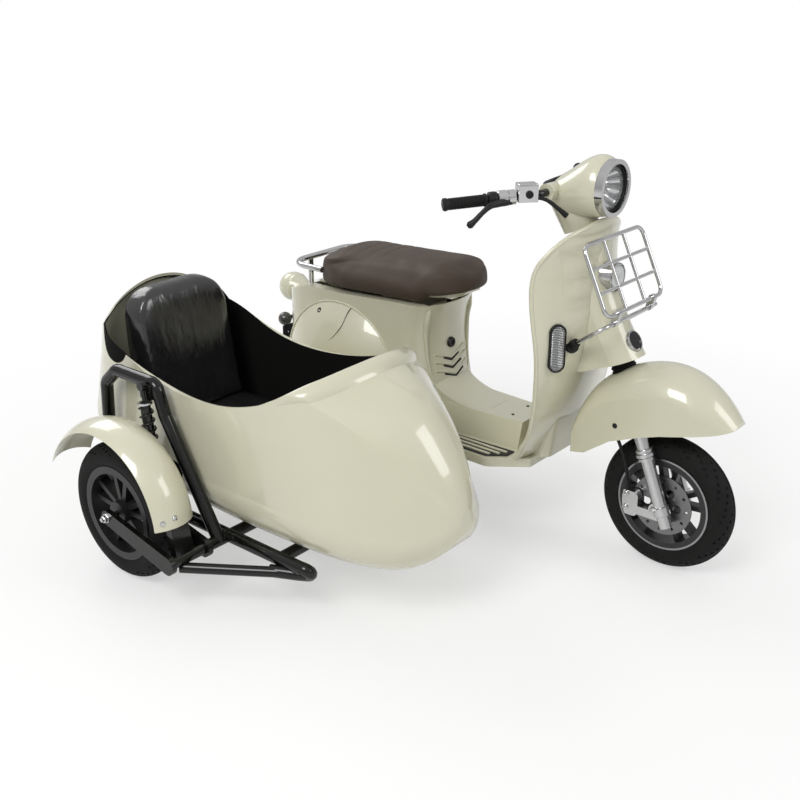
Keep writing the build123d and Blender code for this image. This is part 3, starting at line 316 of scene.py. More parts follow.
# Sidecar lining: black carpet felt, fuzzy and without shine,
# glued over the inside of the tub.
felt, place = blank("black_felt")
fuzz = noise(place, 700.0, 4.0, 0.7)
surface(place, {
    "Base Color": blend(place, fuzz, (0.003, 0.003, 0.003), (0.011, 0.011, 0.010)),
    "Roughness": 0.95, "Specular IOR Level": 0.05, "Sheen Weight": 0.02,
    "Normal": relief(place, fuzz, 0.5, 0.0012),
})
paint(("sidecar_liner",), felt)


# Tyres: ten inch road tyres in black rubber, with a chevron tread cut in the crown and rings moulded
# on the side walls, mounted on the rims. Each stands for the plain ring of its wheel.
def choose(piece, test):
    """Selects the faces whose middle and normal pass the test, and stays in edit mode."""
    bpy.ops.object.mode_set(mode="EDIT")
    bpy.ops.mesh.select_mode(type="FACE")
    bpy.ops.mesh.select_all(action="DESELECT")
    bpy.ops.object.mode_set(mode="OBJECT")
    for face in piece.data.polygons:
        face.select = test(face.center, face.normal)
    bpy.ops.object.mode_set(mode="EDIT")


def only(piece):
    """Leaves edit mode and selects one piece alone."""
    if bpy.context.mode != "OBJECT":
        bpy.ops.object.mode_set(mode="OBJECT")
    bpy.ops.object.select_all(action="DESELECT")
    piece.select_set(True)
    bpy.context.view_layer.objects.active = piece


def outward():
    """Turns all faces of the piece in edit mode to its outside."""
    bpy.ops.mesh.select_all(action="SELECT")
    bpy.ops.mesh.normals_make_consistent(inside=False)


def settle(piece, name, body, material, angle=40.0):
    """Applies what is left on a piece, smooths it, names it and hands it to the body it moves with."""
    only(piece)
    for step in list(piece.modifiers):
        bpy.ops.object.modifier_apply(modifier=step.name)
    bpy.ops.object.transform_apply(location=True, rotation=True, scale=True)
    bpy.ops.object.shade_smooth_by_angle(angle=radians(angle))
    piece.name = name
    piece.data.materials.clear()
    piece.data.materials.append(material)
    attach(piece, body)
    return piece


def copied(piece, move=(0, 0, 0), mirrored=False):
    """A second one of a piece with its own mesh, moved, or mirrored to the other side of the scooter."""
    only(piece)
    bpy.ops.object.duplicate()
    twin = bpy.context.object
    bpy.ops.object.mode_set(mode="EDIT")
    bpy.ops.mesh.select_all(action="SELECT")
    bpy.ops.transform.translate(value=move)
    if mirrored:
        bpy.ops.transform.resize(value=(1, -1, 1), center_override=at(0, 0, 0))
        bpy.ops.mesh.flip_normals()
    bpy.ops.object.mode_set(mode="OBJECT")
    return twin


def both_sides(piece, name, body, material, angle=40.0):
    """Settles a piece made for the right side and its mirrored copy on the left, and returns the two."""
    twin = copied(piece, mirrored=True)
    right = settle(piece, name + "_right", body, material, angle)
    return right, settle(twin, name + "_left", body, material, angle)


wheels = (
    ("front", at(0, 0, axle_up), "front_roller"), ("rear", at(-1270, 0, axle_up), "rear_roller"),
    ("sidecar", at(-1160, -1040, axle_up), "sidecar_roller"),
)
steps, around, pitch = 128, 36, 8
crown_r, middle_r = 0.180, 0.2
ring_r, section_r, bead_r, seat_r, seat_half = 0.1633, 0.0405, 0.1408, 0.1276, 0.0294
hub = wheels[0][1]
casing = begin(
    bpy.ops.mesh.primitive_circle_add, vertices=around, radius=section_r,
    location=hub + Vector((0, 0, ring_r)), rotation=(0, pi / 2, 0),
)
bpy.ops.object.mode_set(mode="EDIT")
bpy.ops.mesh.select_all(action="SELECT")
bpy.ops.mesh.spin(steps=steps, angle=2 * pi, center=hub, axis=(0, 1, 0))
bpy.ops.mesh.select_all(action="SELECT")
bpy.ops.mesh.remove_doubles(threshold=0.00005)
outward()
bpy.ops.object.mode_set(mode="OBJECT")
for corner in casing.data.vertices:
    off = corner.co - hub
    r = hypot(off.x, off.z)
    if r < bead_r:
        new_r = max(r, seat_r)
        flat = max(-seat_half, min(seat_half, off.y))
        corner.co = hub + Vector((off.x * new_r / r, flat, off.z * new_r / r))


def groove(c, n):
    """The faces of the crown where the chevrons and the middle line are cut."""
    off = c - hub
    r = hypot(off.x, off.z)
    k = int((atan2(off.z, off.x) / (2 * pi) + 0.5) * steps)
    lean = atan2(off.y, r - ring_r) / (2 * pi) * around
    j = int(abs(lean))
    cut = (k + 2 * j) % pitch < 1 if lean > 0 else (k + pitch // 2 + 2 * j) % pitch < 1
    return r > crown_r and 1 <= j <= 6 and cut or j == 0 and lean > 0 and r > middle_r


choose(casing, groove)
bpy.ops.mesh.inset(thickness=0.0012, depth=-0.0034)
casings = [casing] + [copied(casing, spot - hub) for name, spot, body in wheels[1:]]
for tyre, (name, spot, body) in zip(casings, wheels):
    rubber, place = blank("tyre_rubber_" + name)
    reach = from_axle(place, spot)
    moulded = place.maths("SINE", reach * 900.0) * (reach < 0.178) * (reach > 0.146)
    dust = noise(place, 26.0, 6.0, 0.7)
    surface(place, {
        "Base Color": blend(place, dust, (0.005, 0.005, 0.005), (0.016, 0.0155, 0.015)),
        "Roughness": 0.60 + 0.22 * dust, "Specular IOR Level": 0.15,
        "Normal": relief(place, moulded * 0.5 + noise(place, 500.0) * 0.6, 0.35, 0.0008),
    })
    settle(tyre, name + "_tyre_tread", body, rubber, 32.0)
    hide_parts(name + "_tyre")

# Wheels: cast alloy sprayed satin black, with the lip of the front rim machined bright.
# The rear one carries the motor in its hub.
for name, spot, body in wheels:
    cast, place = blank("cast_wheel_" + name)
    reach = from_axle(place, spot)
    lip = (reach > 0.1355) * (reach < 0.1425)
    sandy = noise(place, 600.0, 3.0)
    bright = (0.30, 0.30, 0.31) if name == "front" else (0.06, 0.06, 0.062)
    surface(place, {
        "Base Color": blend(
            place, lip, blend(place, sandy, (0.007, 0.007, 0.008), (0.015, 0.015, 0.016)), bright,
        ),
        "Metallic": lip, "Roughness": 0.38 - 0.16 * lip + 0.1 * sandy,
        "Normal": relief(place, sandy * (1.0 - lip), 0.12, 0.0004),
    })
    paint((name + "_wheel",), cast)


# Axle ends: turned nuts and washers of plated steel,
# screwed on the spindles of the front wheel and the sidecar's wheel.
def lathe(spot, direction, profile, sides=40, open_ends=(False, False)):
    """Turns a piece along direction from rows of height and radius in mm, starting at spot."""
    direction = Vector(direction).normalized()
    (low, first), last = profile[0], profile[0]
    piece = begin(
        bpy.ops.mesh.primitive_circle_add, vertices=sides, radius=first / 1000, fill_type="NGON",
        location=spot + direction * (low / 1000), rotation=direction.to_track_quat("Z", "Y").to_euler(),
    )
    bpy.ops.object.mode_set(mode="EDIT")
    bpy.ops.mesh.select_all(action="SELECT")
    for height, radius in profile[1:]:
        step = direction * ((height - last[0]) / 1000)
        bpy.ops.mesh.extrude_region_move(TRANSFORM_OT_translate={"value": step})
        share = radius / last[1]
        bpy.ops.transform.resize(value=(share,) * 3, center_override=spot + direction * (height / 1000))
        last = (height, radius)
    if open_ends[1]:
        bpy.ops.mesh.delete(type="ONLY_FACE")
    outward()
    bpy.ops.object.mode_set(mode="OBJECT")
    if open_ends[0]:
        start = (low + 0.01) / 1000
        choose(piece, lambda c, n: (c - spot).dot(direction) < start and abs(n.dot(direction)) > 0.9)
        bpy.ops.mesh.delete(type="ONLY_FACE")
        bpy.ops.object.mode_set(mode="OBJECT")
    return piece


nut = lathe(
    at(0, -82, axle_up), (0, -1, 0),
    ((0, 15), (2, 15), (2.2, 12), (10, 12), (11, 10.5), (11, 7), (17, 7), (18, 6)), 6,
)
outer_nut = copied(nut, at(-1160, -1112, axle_up) - at(0, -82, axle_up))
both_sides(nut, "front_axle_nut", "steering", chrome, 25.0)
settle(outer_nut, "sidecar_axle_nut", "chassis", chrome, 25.0)


# Brake line and fork trim: bright collars shrunk on the fork legs, two caliper bolts, and a black rubber
# hose held at the mudguard and by the caliper's banjo.
def tube(points, radius, swell=(), smooth=True, sides=3):
    """A round bar through points, with a share of its radius at each, made a mesh with closed ends."""
    bpy.ops.object.select_all(action="DESELECT")
    bpy.ops.curve.primitive_bezier_curve_add()
    bar = bpy.context.object
    path = bar.data.splines[0]
    path.bezier_points.add(len(points) - 2)
    for k, (knot, spot) in enumerate(zip(path.bezier_points, points)):
        knot.co = spot
        knot.handle_left_type = knot.handle_right_type = "AUTO" if smooth else "VECTOR"
        knot.radius = swell[k] if swell else 1.0
    bar.data.dimensions = "3D"
    bar.data.bevel_depth = radius / 1000
    bar.data.bevel_resolution = sides
    bar.data.resolution_u = 6 if smooth else 1
    bar.data.use_fill_caps = True
    bpy.ops.object.convert(target="MESH")
    return bpy.context.object


rake = radians(22)
lean = Vector((-sin(rake), 0, cos(rake)))
stem = at(-23, 0, axle_up)
leg = stem + Vector((cos(rake), 0, sin(rake))) * 0.035 + Vector((0, -0.068, 0))
collar = lathe(leg + lean * 0.138, lean, (
    (0, 20.5), (1, 25), (9, 25), (10, 22), (12, 22), (13, 28),
    (22, 28), (23, 23), (26, 23), (27, 25.5), (33, 25.5), (34, 20.5),
))
both_sides(collar, "fork_collar", "steering", alloy, 30.0)
foot = lathe(leg + lean * -0.030, lean, ((0, 21), (2, 24), (26, 24), (28, 20.5)))
both_sides(foot, "fork_foot", "steering", alloy, 30.0)
bolt = lathe(
    at(-98, -67, 178), (0, -1, 0), ((0, 7.5), (1, 8), (6, 8), (7, 6.5), (7, 4), (4, 3.6), (4, 0.4)), 24,
)
upper_bolt = copied(bolt, (0, 0, 0.044))
settle(bolt, "caliper_bolt_1", "steering", chrome, 30.0)
settle(upper_bolt, "caliper_bolt_2", "steering", chrome, 30.0)

hose_rubber, place = blank("hose_rubber")
surface(place, {
    "Base Color": blend(place, noise(place, 40.0, 4.0), (0.006, 0.006, 0.006), (0.015, 0.015, 0.015)),
    "Roughness": 0.46 + 0.2 * noise(place, 300.0), "Specular IOR Level": 0.2,
    "Normal": relief(place, noise(place, 700.0), 0.2, 0.0003),
})
hose = tube(
    (at(-150, -80, 418), at(-128, -76, 372), at(-108, -70, 320), at(-104, -60, 270), at(-98, -52, 230)),
    5.0,
)
settle(hose, "brake_hose", "steering", hose_rubber)
folds = [(352, 30)]
for k in range(7):
    folds += [(356 + 12 * k, 37), (362 + 12 * k, 33)]
gaiter = lathe(stem, lean, folds + [(440, 30)])
settle(gaiter, "steering_gaiter", "steering", hose_rubber, 30.0)


# Suspension springs: steel wire wound over the damper sleeves and sprayed black,
# held between bright turned cups at both ends.
def coil_over(low, high, turns):
    """A coil with its two cups round the line between two places."""
    end_gap, cup_deep, coil_r, facets = 0.054, 0.008, 0.0185, 12
    axis = (high - low).normalized()
    ahead = Vector((0, 1, 0)).cross(axis).normalized()
    beside = axis.cross(ahead)
    length = (high - low).length - 2 * end_gap
    wire = []
    for k in range(turns * facets + 1):
        turn = 2 * pi * k / facets
        out = ahead * cos(turn) + beside * sin(turn)
        wire.append(low + axis * (end_gap + length * k / (turns * facets)) + out * coil_r)
    cup = lathe(low + axis * (end_gap - cup_deep), axis, ((0, 17), (1, 22), (6, 22), (7, 17)))
    return tube(wire, 3.1, sides=2), cup, copied(cup, axis * (length + cup_deep))


coil, low_cup, high_cup = coil_over(at(-1314, -75.5, 222), at(-1314, -75.5, 577), 11)
both_sides(coil, "spring", "chassis", enamel, 60.0)
both_sides(low_cup, "spring_cup_low", "chassis", alloy, 30.0)
both_sides(high_cup, "spring_cup_high", "chassis", alloy, 30.0)
coil, low_cup, high_cup = coil_over(at(-1100, -960, 200), at(-1150, -960, 560), 10)
settle(coil, "sidecar_spring", "chassis", enamel, 60.0)
settle(low_cup, "sidecar_spring_cup_low", "chassis", alloy, 30.0)
settle(high_cup, "sidecar_spring_cup_high", "chassis", alloy, 30.0)


# Footboards: black moulded rubber mats glued on the tray beside the tunnel, each with three bright strips
# screwed down along it.
def soften(piece, width):
    """Rounds off the edges of a moulded or cast piece."""
    soft = piece.modifiers.new("soft", "BEVEL")
    soft.width = width
    soft.segments = 2


mat_rubber, place = blank("mat_rubber")
fine = place.maths("SINE", coordinate(place, 1) * 1900.0)
surface(place, {
    "Base Color": blend(place, noise(place, 30.0, 5.0), (0.013, 0.013, 0.013), (0.032, 0.031, 0.030)),
    "Roughness": 0.60 + 0.2 * noise(place, 200.0), "Normal": relief(place, fine, 0.5, 0.0006),
})
mat_low, strip_mid, strip_back = 265.2, 269.5, -735
corners = ((-742, 132), (-742, 203), (-508, 203), (-455, 162), (-455, 122))
mat = begin(bpy.ops.mesh.primitive_circle_add, vertices=len(corners), radius=0.1, fill_type="NGON")
for corner, (x, y) in zip(mat.data.vertices, corners):
    corner.co = at(x, -y, mat_low)
bpy.ops.object.mode_set(mode="EDIT")
bpy.ops.mesh.select_all(action="SELECT")
bpy.ops.mesh.extrude_region_move(TRANSFORM_OT_translate={"value": (0, 0, 0.003)})
outward()
bpy.ops.object.mode_set(mode="OBJECT")
soften(mat, 0.0012)
both_sides(mat, "foot_mat", "chassis", mat_rubber, 30.0)
for k, (y, front) in enumerate(((146, -468), (167, -480), (188, -502))):
    strip = begin(
        bpy.ops.mesh.primitive_cube_add, size=1.0, location=at((front + strip_back) / 2, -y, strip_mid),
        scale=((front - strip_back) / 1000, 0.009, 0.004),
    )
    choose(strip, lambda c, n: n.z > 0.9)
    bpy.ops.mesh.inset(thickness=0.002)
    bpy.ops.transform.translate(value=(0, 0, 0.0012))
    both_sides(strip, "foot_strip_%d" % (k + 1), "chassis", cream, 30.0)
first = at(-736, -62, 346)
screw = lathe(first, (0, 0, 1), ((-3, 5), (1.2, 5), (2, 3.6), (2, 1.8), (0.8, 1.6), (0.8, 0.3)), 24)
screws = [screw] + [copied(screw, at(x, y, 346) - first) for x, y in ((-733, 72), (-520, -42), (-522, 44))]
for k, screw in enumerate(screws):
    settle(screw, "tunnel_screw_%d" % (k + 1), "chassis", plastic, 30.0)

# Pillar front: a panel embossed in the painted sheet under the seat lock, with three slots for air
# cut as chevrons, each drawn as a dark bar of painted shade laid on the sheet for its opening,
# and a rolled bead round it.
for k, (left, tip, right) in enumerate((
    ((-796, -42, 471), (-790, -10, 457), (-793, 30, 471)),
    ((-792, -46, 446), (-786, -8, 430), (-790, 40, 446)),
    ((-787, -46, 418), (-781, 4, 400), (-786, 46, 418)),
)):
    proud = Vector((0.0022, 0, 0))
    # Each slot is a dark bar laid just proud of the sheet: painted shade standing for the opening.
    slot = tube([at(*left) + proud, at(*tip) + proud, at(*right) + proud], 3.6, smooth=False)
    settle(slot, "vent_slot_%d" % (k + 1), "chassis", plastic)
    rise = Vector((0.0018, 0, 0.0095))
    ends = at(left[0] - 8, -80, left[2] + 8), at(right[0] - 8, 78, right[2] + 8)
    brow = tube((ends[0] + rise, at(*tip) + rise, ends[1] + rise), 3.6, smooth=False)
    settle(brow, "vent_brow_%d" % (k + 1), "chassis", cream)
half_bead = (
    (-800, 107, 652, 0.3), (-806, 109, 632, 0.9), (-810, 110, 609, 1.2), (-816, 110, 575, 1.0),
    (-814, 107, 520, 0.8), (-808, 102, 460, 0.6), (-792, 86, 398, 0.5), (-775, 44, 364, 0.4),
)
right_half = [at(x, -y, z) for x, y, z, share in half_bead]
left_half = [at(x, y, z) for x, y, z, share in reversed(half_bead)]
shares = [share for x, y, z, share in half_bead]
bead = tube(right_half + [at(-770, 0, 358)] + left_half, 8.0, swell=shares + [0.4] + shares[::-1])
settle(bead, "vent_panel_bead", "chassis", cream)
lock = lathe(at(-799, -6, 514), (1, 0, 0.08), ((0, 17), (8, 17), (12, 15), (12, 9), (8.5, 8.5), (8.5, 0.4)))
settle(lock, "seat_lock", "chassis", plastic, 30.0)

# Fairing: the painted sheet of the pillar sweeps forward in one hollow curve
# and lies on the tunnel, where screws hold it.
rows, columns = 16, 14
top, knee, toe = (-784, 412), (-756, 346), (-600, 346.5)
half_top, half_toe = 92, 84
sweep_skin = begin(bpy.ops.mesh.primitive_grid_add, x_subdivisions=rows, y_subdivisions=columns, size=1.0)
for corner in sweep_skin.data.vertices:
    t, across = corner.co.x + 0.5, 2 * corner.co.y
    x, z = ((1 - t) ** 2 * a + 2 * t * (1 - t) * b + t ** 2 * c for a, b, c in zip(top, knee, toe))
    half = half_top * (1 - t) + half_toe * t
    corner.co = at(x - 20 * across ** 2 * (1 - t), half * across, z - 5 * across ** 6 * t)
bpy.ops.object.mode_set(mode="EDIT")
bpy.ops.mesh.select_all(action="SELECT")
bpy.ops.mesh.extrude_region_move(TRANSFORM_OT_translate={"value": (-0.012, 0, -0.024)})
outward()
settle(sweep_skin, "pillar_fairing", "chassis", cream, 50.0)

# Side cowls: pressed domes in the body's paint with a rolled bead round them,
# each with the shut line of a small flap, a thin dark line of painted shade in the gap,
# and its key cap in black plastic.
# The shut line's colour is the cream paint darkened to a twentieth: painted shade for the shadow inside the
# flap's gap.
gap_shade, place = blank("shut_line")
surface(place, {
    "Base Color": blend(place, noise(place, 60.0), (0.030, 0.029, 0.024), (0.060, 0.058, 0.048)),
    "Roughness": 0.6 + 0.2 * noise(place, 200.0),
})
cowl_x, cowl_side, cowl_up, cowl_r = -1150, -151.5, 372, 240.5
turns = [pi * k / 40 for k in range(41)]
ring = [at(cowl_x + cowl_r * cos(turn), cowl_side, cowl_up + cowl_r * sin(turn)) for turn in turns]
both_sides(tube(ring, 3.4), "cowl_bead", "chassis", cream)
flap = [at(x, -y, z) for x, y, z in (
    (-1092, 154.5, 604), (-1096, 162, 594.5), (-1100, 174, 574), (-1103, 186, 553), (-1117, 199, 525.5),
    (-1142, 206.5, 498), (-1180, 209, 479),
)]
# A thin dark tube along the flap's edge, painted shade standing for its gap.
both_sides(tube(flap, 1.3), "flap_shut_line", "chassis", gap_shade)
cap = lathe(
    at(-1222, -163, 571), (-0.18, -0.85, 0.49),
    ((0, 9.5), (6.5, 9.5), (8, 8), (8, 5), (6.8, 4.6), (6.8, 0.4)), 28,
)
both_sides(cap, "flap_key_cap", "chassis", plastic, 30.0)


# Seat: a long foam cushion in dark brown vinyl, pulled down over the hinged pan so that its skirt hangs
# just above the body, with channels sewn across the passenger's half.
def plump(node, inward, cap, voxel, rounds):
    """A copy of a cushion's solid, drawn in, rounded off and swollen by air pressure up to cap."""
    pressure, frames = 4.0, 20
    pad = bpy.data.objects.new(node + "_pad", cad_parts[node].data.copy())
    bpy.context.collection.objects.link(pad)
    only(pad)
    bpy.ops.object.mode_set(mode="EDIT")
    bpy.ops.mesh.select_all(action="SELECT")
    bpy.ops.mesh.remove_doubles(threshold=0.00002)
    outward()
    bpy.ops.object.mode_set(mode="OBJECT")
    foam = pad.modifiers.new("foam", "REMESH")
    foam.mode = "VOXEL"
    foam.voxel_size = voxel
    bpy.ops.object.modifier_apply(modifier=foam.name)
    worn = pad.modifiers.new("worn", "SMOOTH")
    worn.factor = 0.5
    worn.iterations = rounds
    bpy.ops.object.modifier_apply(modifier=worn.name)
    bpy.ops.object.mode_set(mode="EDIT")
    bpy.ops.mesh.select_all(action="SELECT")
    bpy.ops.transform.shrink_fatten(value=-inward)
    bpy.ops.object.mode_set(mode="OBJECT")
    held = pad.vertex_groups.new(name="stapled")
    held.add([v.index for v in pad.data.vertices if v.normal.z < -0.6], 1.0, "REPLACE")
    fill = pad.modifiers.new("fill", "CLOTH")
    fill.settings.use_pressure = True
    fill.settings.uniform_pressure_force = pressure
    fill.settings.effector_weights.gravity = 0.0
    fill.settings.vertex_group_mass = held.name
    fill.collision_settings.use_collision = False
    for step in range(1, frames + 1):
        bpy.context.scene.frame_set(step)
    swollen = pad.evaluated_get(bpy.context.evaluated_depsgraph_get()).data
    moves = [(new.co - old.co) for new, old in zip(swollen.vertices, pad.data.vertices)]
    pad.modifiers.remove(fill)
    for corner, move in zip(pad.data.vertices, moves):
        corner.co += move * min(1.0, cap / max(move.length, 1e-9))
    eased = pad.modifiers.new("eased", "SMOOTH")
    eased.factor = 0.5
    eased.iterations = 45
    bpy.ops.object.modifier_apply(modifier=eased.name)
    bpy.context.scene.frame_set(1)
    return pad


def refine(piece):
    """Divides a soft or pressed form once more, so that its curves run smooth."""
    fine = piece.modifiers.new("fine", "SUBSURF")
    fine.levels = fine.render_levels = 1


def leather(name, dark, light, gloss, wrinkle):
    """Vinyl with a fine pebbled grain and soft stretch wrinkles."""
    made, place = blank(name)
    pebble = place.node(
        "TexVoronoi", {"feature": "SMOOTH_F1"}, {"Vector": place, "Scale": 520.0, "Smoothness": 0.6},
    )
    folds = streaks(place, (12.0, 20.0, 5.0), 3.0)
    surface(place, {
        "Base Color": blend(place, noise(place, 9.0, 5.0, 0.6), dark, light),
        "Roughness": gloss + 0.16 * noise(place, 22.0, 4.0), "Specular IOR Level": 0.3 + 0.15 * wrinkle,
        "Normal": relief(place, pebble * 0.10 + folds * wrinkle, 0.45, 0.004),
    })
    return made


seat = plump("seat_pad", 0.001, 0.010, 0.005, 34)
half_wide, sewn_half, seams = 128, 100, (-1010, -1060, -1110, -1160, -1210)
for corner in seat.data.vertices:
    x, y = (corner.co.x - axle_x) * 1000, (corner.co.y - centre_y) * 1000
    up, low = corner.normal.z, 660 + max(0.0, x + 1180) * 0.095
    high = min(1.0, max(0.0, (corner.co.z * 1000 - low) / 110))
    edge_drop = min(1.0, abs(y) / half_wide) ** 2 * high ** 3 * 0.020
    tail_drop = max(0.0, (-1200 - x) / 118) ** 2 * high ** 2 * 0.022
    flare = 0.019 * (1 - 0.7 * min(1.0, max(0.0, (-1130 - x) / 110)))
    corner.co.y += copysign(min(1.0, abs(y) / half_wide) ** 3 * (flare - 0.030 * high ** 3), y)
    sewn = sum(2.718 ** -(((x - line) / 6.0) ** 2) for line in seams) * 0.0018
    if up > 0.5 and abs(y) < sewn_half:
        corner.co -= corner.normal * (sewn * (1 - (y / sewn_half) ** 4))
    behind_hinge = min(1.0, max(0.0, (-800 - x) / 35))
    skirt = (10 + max(0.0, x + 1000) * 0.08) * behind_hinge * min(1.0, abs(y) / 100) ** 2
    corner.co.z -= edge_drop + tail_drop + skirt * (1 - high) ** 1.5 / 1000
refine(seat)
brown = leather("brown_vinyl", (0.052, 0.036, 0.026), (0.072, 0.051, 0.038), 0.50, 0.06)
settle(seat, "seat_cushion", "seat_lid", brown, 60.0)
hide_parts("seat_pad")

# Passenger's seat: a deep cushion and a reclined back in black vinyl, buttoned into the tub, still glossy
# with the folds of new stretched covers.
black_vinyl = leather("black_vinyl", (0.007, 0.007, 0.0075), (0.020, 0.020, 0.021), 0.05, 3.6)
for node, name in (("sidecar_cushion", "sidecar_seat_cushion"), ("sidecar_backrest", "sidecar_back_cushion")):
    pad = plump(node, 0.004, 0.006, 0.006, 22)
    refine(pad)
    settle(pad, name, "chassis", black_vinyl, 60.0)
    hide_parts(node)

# Handlebar: on each side a ribbed rubber grip, a black plastic switch pod, and a bright cast housing and
# brake cylinder clamped to the bar. Each lever is a black forged blade with a ball end.
grip_rubber, place = blank("grip_rubber")
surface(place, {
    "Base Color": blend(place, noise(place, 50.0, 4.0), (0.006, 0.006, 0.006), (0.015, 0.015, 0.015)),
    "Roughness": 0.46 + 0.18 * noise(place, 260.0), "Specular IOR Level": 0.2,
    "Normal": relief(place, noise(place, 900.0), 0.25, 0.0003),
})
tip = at(-571.1, -350.84, 1049.8)
root = at(-398, -128, 1068)
out = (tip - root).normalized()
ahead = Vector((-out.y, out.x, 0)).normalized()
over = out.cross(ahead).normalized()


def along(t, forward=0, up=0):
    """A place by the right bar: mm inwards from its tip, then ahead of it and above it."""
    return tip - out * (t / 1000) + ahead * (forward / 1000) + over * (up / 1000)


profile = [(-124, 12.5), (-123, 18.5), (-118, 18.5)]
for k in range(25):
    profile += [(-116.5 + 4 * k, 16.4), (-115 + 4 * k, 16.4), (-114.5 + 4 * k, 15.4), (-113.3 + 4 * k, 15.4)]
profile += [(-14, 16.6), (-10, 18.0), (-4, 18.0), (-1, 15.0), (0, 10.0), (0.2, 0.4)]
grip = lathe(tip, out, profile, 32)
right, left = both_sides(grip, "ribbed_grip", "steering", grip_rubber, 35.0)
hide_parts("grip_right")
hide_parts("grip_left")
pod = lathe(
    along(154), out, ((0, 16), (2, 20.5), (9, 21.5), (10, 20.5), (11, 21.5), (22, 21), (25, 17.5)), 40,
)
right, left = both_sides(pod, "switch_pod", "steering", plastic, 35.0)
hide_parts("lever_right")
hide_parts("lever_left")
drum = lathe(
    along(206), out, ((0, 16), (1, 21), (20, 21), (21, 18), (25, 18), (26, 22), (48, 22), (51, 18)), 40,
)
both_sides(drum, "throttle_housing", "steering", alloy, 35.0)
block = begin(
    bpy.ops.mesh.primitive_cube_add, size=1.0, location=along(237, 10, 8), scale=(0.038, 0.056, 0.044),
    rotation=(0, 0, atan2(out.y, out.x) - pi / 2),
)
choose(block, lambda c, n: n.z > 0.9)
bpy.ops.mesh.inset(thickness=-0.003)
bpy.ops.mesh.extrude_region_move(TRANSFORM_OT_translate={"value": (0, 0, 0.006)})
bpy.ops.mesh.inset(thickness=0.004)
bpy.ops.transform.translate(value=(0, 0, 0.0015))
bpy.ops.object.mode_set(mode="OBJECT")
soften(block, 0.002)
both_sides(block, "brake_cylinder", "steering", alloy, 35.0)
eye = lathe(along(239, 28, 8), ahead, ((0, 11), (3.5, 11), (4.5, 9.5), (4.5, 7), (3, 6.5), (3, 0.4)), 28)
both_sides(eye, "level_window", "steering", plastic, 30.0)
blade = [along(t, forward, up) for t, forward, up in (
    (196, 6, -10), (172, 16, -8), (147, 28, -7), (123, 40, -9), (98, 46, -24), (76, 47, -43),
    (63, 45, -53), (57, 45, -57),
)]
lever = tube(blade, 8.5, swell=(1.1, 1.3, 1.2, 1.0, 0.85, 0.95, 1.3, 0.7))
both_sides(lever, "lever_blade", "steering", plastic, 50.0)
route = (along(258, 14, -4), along(284, 36, -10), along(310, 54, -32), along(334, 60, -55))
pipe = tube(route, 6.5, swell=(0.8, 0.8, 0.9, 1.3))
both_sides(pipe, "bar_hose", "steering", hose_rubber)

# Instrument: a round pod of black plastic, its dark glass face made in the same plastic,
# let into the back of the headlight cowl.
pod = lathe(
    at(-420, 0, 1074), (-0.42, 0, 0.91),
    ((-24, 42), (4, 46), (14, 46), (18, 43), (20, 38), (18, 36), (18, 0.4)), 48,
)
settle(pod, "instrument_pod", "steering", plastic, 30.0)

# Headlight: a bright pressed bowl and a bulb behind clear fluted glass,
# held by a black inner rim in the plated ring.
glass, place = blank("clear_glass")
flutes = place.maths("SINE", coordinate(place, 1) * 700.0)
surface(place, {
    "Base Color": blend(place, noise(place, 40.0), (0.82, 0.85, 0.86), (0.92, 0.94, 0.95)),
    "Roughness": 0.03 + 0.04 * noise(place, 80.0), "Alpha": 0.14 + 0.06 * flutes, "Coat Weight": 0.6,
    "Normal": relief(place, flutes, 0.25, 0.0012),
})
bowl_bright, place = blank("bowl_bright")
lamp_up = 1083
off = place.node("VectorMath", {"operation": "SUBTRACT"}, {0: place, 1: at(-262, 0, lamp_up)})
turn = place.maths("ARCTAN2", coordinate(off, 1), coordinate(off, 2))
facets = place.maths("SINE", turn * 14.0)
surface(place, {
    "Base Color": blend(place, facets * 0.5 + 0.5, (0.10, 0.10, 0.11), (0.80, 0.80, 0.80)), "Metallic": 1.0,
    "Roughness": 0.08 + 0.08 * noise(place, 90.0), "Normal": relief(place, facets, 0.6, 0.004),
})
bowl = lathe(
    at(-262, 0, lamp_up), (-1, 0, 0), ((0, 61), (8, 58), (18, 50), (27, 38), (33, 24), (36, 9)), 64,
    (True, False),
)
settle(bowl, "headlight_bowl", "steering", bowl_bright, 60.0)
bulb = lathe(
    at(-297, 0, lamp_up), (1, 0, 0), ((0, 9), (14, 9), (15, 11), (24, 11), (27, 9), (28.5, 5), (29, 0.4)),
    32,
)
settle(bulb, "headlight_bulb", "steering", bowl_bright, 40.0)
rim = lathe(
    at(-261.5, 0, lamp_up), (1, 0, 0), ((0, 66.6), (12, 66.6), (16, 65), (16, 62.5), (8, 60.5), (0, 60.5)),
    64, (True, True),
)
settle(rim, "headlight_rim", "steering", plastic, 30.0)
dome = lathe(
    at(-259, 0, lamp_up), (1, 0, 0),
    ((0, 60.3), (7, 60.3), (11, 55), (14.5, 44), (17, 30), (18.4, 15), (18.6, 0.4)), 64,
)
settle(dome, "headlight_glass", "steering", glass, 50.0)
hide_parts("headlight_lens")

